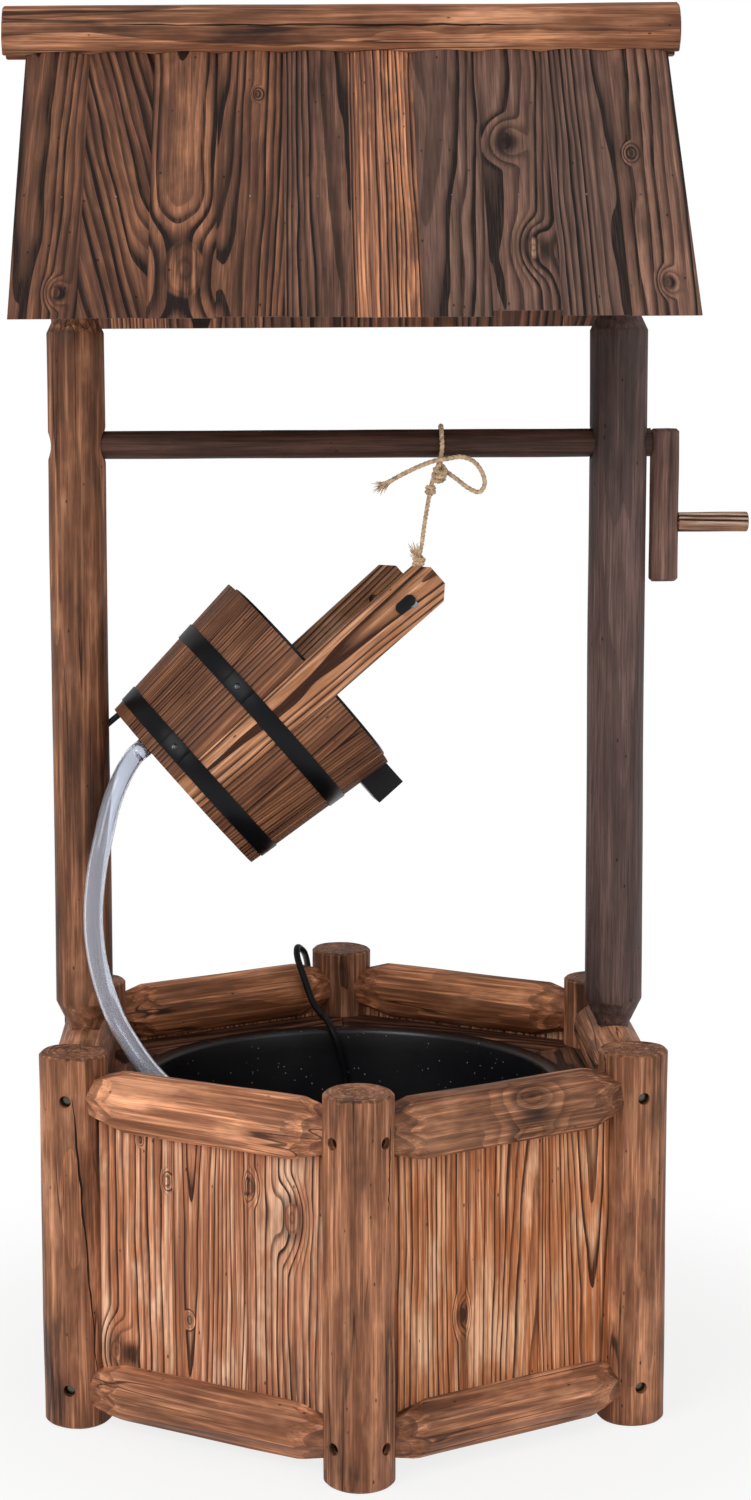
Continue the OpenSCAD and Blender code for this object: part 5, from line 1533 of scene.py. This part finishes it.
class FOUNTAIN_OT_bucket_wood(bpy.types.Operator):
    """Makes the staves, the two ears and the bottom of the bucket"""
    bl_idname = "fountain.bucket_wood"
    bl_label = "Bucket Wood"

    def execute(self, context):
        sizes = context.scene.fountain_bucket
        ear_half = asin(sizes.ear_width / 2 / sizes.rim_radius)
        step = (pi - 2 * ear_half) / 7
        wood = fir("scorched_fir_stave", "#8f5d42 #c68a63 #341b12", ring=0.003, wander=2.2, contrast=1.4, blotch=0.6,
                   edge=0.3, random_knots=0.35, sawn=0.2)
        master = self.stave(sizes, step / 2 - radians(0.1))
        # The spout stands through the middle staves
        spout = block((0.11, 0, sizes.height + 0.012), (0.08, 0.0406, 0.0786))
        staves = []
        for number in range(14):
            half, k = divmod(number, 7)
            angle = pi * half - pi / 2 + ear_half + (k + 0.5) * step
            stave = uneven(copy_of(master), 0.0005, 0.03, 0.1, 200 + number)
            if 2 <= number <= 4:
                subtract(stave, put(copy_of(spout), spin(-angle)))
            self.grain(smooth(stave), flare_of(sizes), 200 + number)
            staves.append(put(stave, spin(angle)))
        remove(master, spout)
        finish_piece("bucket_staves_sawn", put(join(staves), BUCKET), "bucket", wood, "bucket_wood", "bucket_staves")
        ear_wood = fir("scorched_fir_ear", "#c4865e #ffc49c #40200f", ring=0.0034, wander=2.4, contrast=1.6,
                       blotch=0.6, edge=0.2, summer=0.5, sawn=0.2)
        ears = put(join([self.ear(sizes, ear_half, turn) for turn in (-pi / 2, pi / 2)]), BUCKET)
        finish_piece("bucket_ears_sawn", ears, "bucket", ear_wood, "ear_wood", "bucket_ears")
        self.bottom(sizes, wood)
        return {"FINISHED"}

    def stave(self, sizes, half_angle):
        """A stave that stands at +X."""
        obj = centred(band(0, sizes.height, sizes.low_radius - sizes.stave, sizes.rim_radius - sizes.stave,
                           sizes.stave, 2 * half_angle, 6))
        edit(obj)
        ease("EDGE", lambda p: abs(p[0].z - p[1].z) > sizes.height * 0.9
             and abs(abs(atan2(p[0].y, p[0].x)) - half_angle) < 1e-3, 0.0007)
        pick("EDGE", lambda p: abs(p[0].z - p[1].z) > sizes.height * 0.9)
        bpy.ops.mesh.subdivide(number_cuts=14)
        done()
        return obj

    def grain(self, obj, flare, seed):
        """The grain leans out with the stave."""
        chance = random.Random(seed)
        quarter = chance.choice((-1, 1)) * chance.uniform(0.01, 0.06)
        stamp(obj, STAVE_TURN, pith=(quarter, chance.uniform(0.01, 0.04)),
              slope=(chance.uniform(-0.03, 0.03), chance.uniform(-0.08, 0.08) - flare), seed=seed,
              tone=chance.uniform(0.76, 1.06), burn=chance.uniform(0.6, 1.3), zoom=chance.uniform(0.7, 1.2),
              glow=0.75, span=0.0185)

    def ear(self, sizes, half_angle, turn):
        """A long stave that goes over from the bucket's round to a flat board above the rim."""
        top = sizes.height + sizes.ear_length
        lean = atan(flare_of(sizes))
        flare = sin(lean) / cos(lean)
        half = sizes.ear_width / 2
        ear = plank(sizes.ear_width, sizes.stave, 0, top, 10, 52, 0.0009)
        # The plank's width turns into an angle round the bucket below the rim and stays flat above it
        for vertex in ear.data.vertices:
            x, y, z = vertex.co
            flat = min(1, max(0, (z - sizes.height + 0.03) / 0.032))
            flat = flat * flat * (3 - 2 * flat)
            depth = y * (1 - flat * (1 - sizes.ear_thickness / sizes.stave)) + 0.0008 * flat
            reach = sizes.low_radius + flare * z - depth
            angle = x / half * (half_angle - radians(0.1))
            curved = Vector((reach * cos(angle), reach * sin(angle), z))
            vertex.co = curved.lerp(Vector((reach, x, z)), flat)
        saw(ear, *(((0, way * half, top - 0.010), (0, way, 1)) for way in (-1, 1)))
        rod_z = sizes.height + sizes.ear_length - ROD_DOWN
        subtract(ear, put(rod(0.0041, 0, 0.2), shift(0, 0, rod_z) @ spin(pi / 2, "Y")))
        front = turn < 0
        stamp(smooth(ear, 30), STAVE_TURN, pith=(0.006 if front else 0.03, 0.014), slope=(0.015, 0.02 - flare),
              seed=5 if front else 6, tone=1.0 if front else 0.62, burn=0.9, span=half)
        return put(ear, spin(turn))

    def bottom(self, sizes, wood):
        """The bottom, of three boards side by side, 4 mm up inside the staves."""
        low = sizes.low_radius - sizes.stave + 0.0003
        boards = []
        for k, (left, right) in enumerate(((-0.09, -0.026), (-0.0256, 0.0256), (0.026, 0.09))):
            board = turned([(0.004, low), (0.014, low + 0.001)])
            saw(board, ((0, left, 0), (0, -1, 0)), ((0, right, 0), (0, 1, 0)))
            soften(board, 0.0006, 50)
            if k == 1:
                # The hose fitting goes through the middle board
                subtract(board, put(rod(0.0063, -0.02, 0.03), shift(FITTING_X * MM, 0, 0)))
            stamp(smooth(board), BOTTOM_TURN, pith=(0.01, 0.02), slope=(0.01, 0.03), seed=240 + k,
                  tone=0.95 + 0.05 * k)
            boards.append(board)
        finish_piece("bucket_bottom_sawn", put(join(boards), BUCKET), "bucket", wood, "bucket_wood", "bucket_bottom")


class FOUNTAIN_OT_bucket_metal(bpy.types.Operator):
    """Makes the two steel bands and their screws"""
    bl_idname = "fountain.bucket_metal"
    bl_label = "Bands and Screws"

    def execute(self, context):
        sizes = context.scene.fountain_bucket
        flare, width = flare_of(sizes), sizes.band_width
        bands, screws = [], []
        for low in (0.0096, 0.0784):
            radius = sizes.low_radius + flare * low
            bands.append(smooth(soften(self.strip(radius, flare, width, low, 2 * pi, 128), 0.0002)))
            for angle in (radians(-114), radians(66)):
                lap = centred(self.strip(radius + 0.001, flare, width, low, radians(15), 8))
                bands.append(put(smooth(soften(lap, 0.0002)), spin(angle)))
                middle = low + width / 2
                screws.append(self.screw(angle, sizes.low_radius + flare * middle + 0.0021, middle, flare))
        for name, parts, steel_kind, slot, node in (
                ("bucket_bands_rolled", bands, steel("painted_steel_band", "#111215", 0.34, 0, 0.16), "black_steel",
                 "bucket_bands"),
                ("band_screws_cross", screws, steel("black_oxide_screws", "#55585c", 0.3), "bright_steel",
                 "band_screws")):
            finish_piece(name, put(join(parts), BUCKET), "bucket", steel_kind, slot, node)
        return {"FINISHED"}

    def strip(self, radius, flare, width, low, angle, steps):
        """A strip 1 mm thick, spun round the bucket or over a lap."""
        play, thickness = 0.00008, 0.00095
        inner = radius + play
        return band(low, low + width, inner, inner + flare * width, thickness, angle, steps)

    def screw(self, angle, radius, z, flare):
        """A small pan head with a cross recess."""
        head = turned([(-0.002, 0.0012), (0, 0.0012), (0.0001, 0.0025), (0.0006, 0.0025), (0.00095, 0.0021),
                       (0.00115, 0.0013)], 32)
        for turn in (0.4, 0.4 + pi / 2):
            subtract(head, block((0, 0, 0.0012), (0.0028, 0.0006, 0.0014), turn))
        return put(smooth(head), spin(angle) @ shift(radius, 0, z) @ spin(pi / 2 - atan(flare), "Y"))


class FOUNTAIN_OT_bucket_plastic(bpy.types.Operator):
    """Dresses the liner with its spout, the rod, the hose fitting and the stay"""
    bl_idname = "fountain.bucket_plastic"
    bl_label = "Liner, Rod and Stay"

    def execute(self, context):
        sizes = context.scene.fountain_bucket
        plastic = moulded_plastic("moulded_abs")
        for node, bevel in (("bucket_liner", 0.0005), ("ear_rod", 0.0005), ("hose_fitting", 0.0003)):
            dress(node, "bucket", plastic, "black_plastic", bevel)
        # A steel washer lies under each head of the rod
        z = sizes.height + sizes.ear_length - ROD_DOWN
        flare = flare_of(sizes)
        face = sizes.rim_radius - 0.0008 + flare * (z - sizes.height)
        washers = [put(turned([(0, 0.0056), (0.0006, 0.0056), (0.001, 0.0052)], 48),
                       spin(turn) @ shift(face, 0.002, z + 0.006) @ spin(pi / 2 - atan(flare), "Y"))
                   for turn in (-pi / 2, pi / 2)]
        finish_piece("rod_washers", put(join(washers), BUCKET), "bucket", steel("zinc_washers", "#a9abad", 0.25),
                     "bright_steel")
        dress("bucket_stay", "bucket", steel("painted_steel_rod", "#141518", 0.4, 0, 0.2), "black_steel")
        return {"FINISHED"}


class FOUNTAIN_OT_pump(bpy.types.Operator):
    """Dresses the pump in the basin"""
    bl_idname = "fountain.pump"
    bl_label = "Pump"

    def execute(self, context):
        plastic = moulded_plastic("moulded_abs")
        pale = moulded_plastic("moulded_nylon", "#b9bcc0", rough=0.45)
        rubber = moulded_plastic("moulded_rubber", rough=0.6)
        for node, body, material, slot, bevel in (
                ("pump_body", "base", plastic, "black_plastic", 0.0006),
                ("pump_cover", "base", plastic, "black_plastic", 0.0004),
                ("suction_feet", "base", rubber, "black_plastic", 0.0002),
                ("impeller", "impeller", pale, "bright_plastic", 0.0002),
                ("flow_dial", "flow_dial", pale, "bright_plastic", 0.0003)):
            dress(node, body, material, slot, bevel)
        return {"FINISHED"}


# Panel and registration

class FOUNTAIN_PT_build(bpy.types.Panel):
    """Lists the steps that build the fountain"""
    bl_idname = "FOUNTAIN_PT_build"
    bl_label = "Garden Fountain"
    bl_space_type = "VIEW_3D"
    bl_region_type = "UI"
    bl_category = "Fountain"

    def draw(self, context):
        column = self.layout.column()
        for step in STEPS:
            column.operator(step.bl_idname)


SETTINGS = {
    "fountain_base": BaseSizes, "fountain_roof": RoofSizes, "fountain_bucket": BucketSizes,
    "fountain_cords": CordSizes, "fountain_finishes": Finishes, "fountain_stage": StageSettings,
}
STEPS = (
    FOUNTAIN_OT_camera, FOUNTAIN_OT_hose, FOUNTAIN_OT_rope, FOUNTAIN_OT_mains_lead, FOUNTAIN_OT_stage,
    FOUNTAIN_OT_posts, FOUNTAIN_OT_rails, FOUNTAIN_OT_panels, FOUNTAIN_OT_deck, FOUNTAIN_OT_uprights,
    FOUNTAIN_OT_roof_frame, FOUNTAIN_OT_roof_boards, FOUNTAIN_OT_ridge, FOUNTAIN_OT_windlass,
    FOUNTAIN_OT_bucket_wood, FOUNTAIN_OT_bucket_metal, FOUNTAIN_OT_bucket_plastic, FOUNTAIN_OT_pump,
)


def register():
    for kind in (*SETTINGS.values(), *STEPS, FOUNTAIN_PT_build):
        bpy.utils.register_class(kind)
    for name, kind in SETTINGS.items():
        setattr(bpy.types.Scene, name, PointerProperty(type=kind))


def unregister():
    for name in SETTINGS:
        delattr(bpy.types.Scene, name)
    for kind in reversed((*SETTINGS.values(), *STEPS, FOUNTAIN_PT_build)):
        bpy.utils.unregister_class(kind)


def main():
    register()
    for step in STEPS:
        group, name = step.bl_idname.split(".")
        getattr(getattr(bpy.ops, group), name)()
    sizes = {"cad": [list(corner) for corner in cad_box], "visual": [list(corner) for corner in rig.bounds()]}
    with open("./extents.json", "w") as file:
        json.dump(sizes, file)


if __name__ == "__main__":
    main()
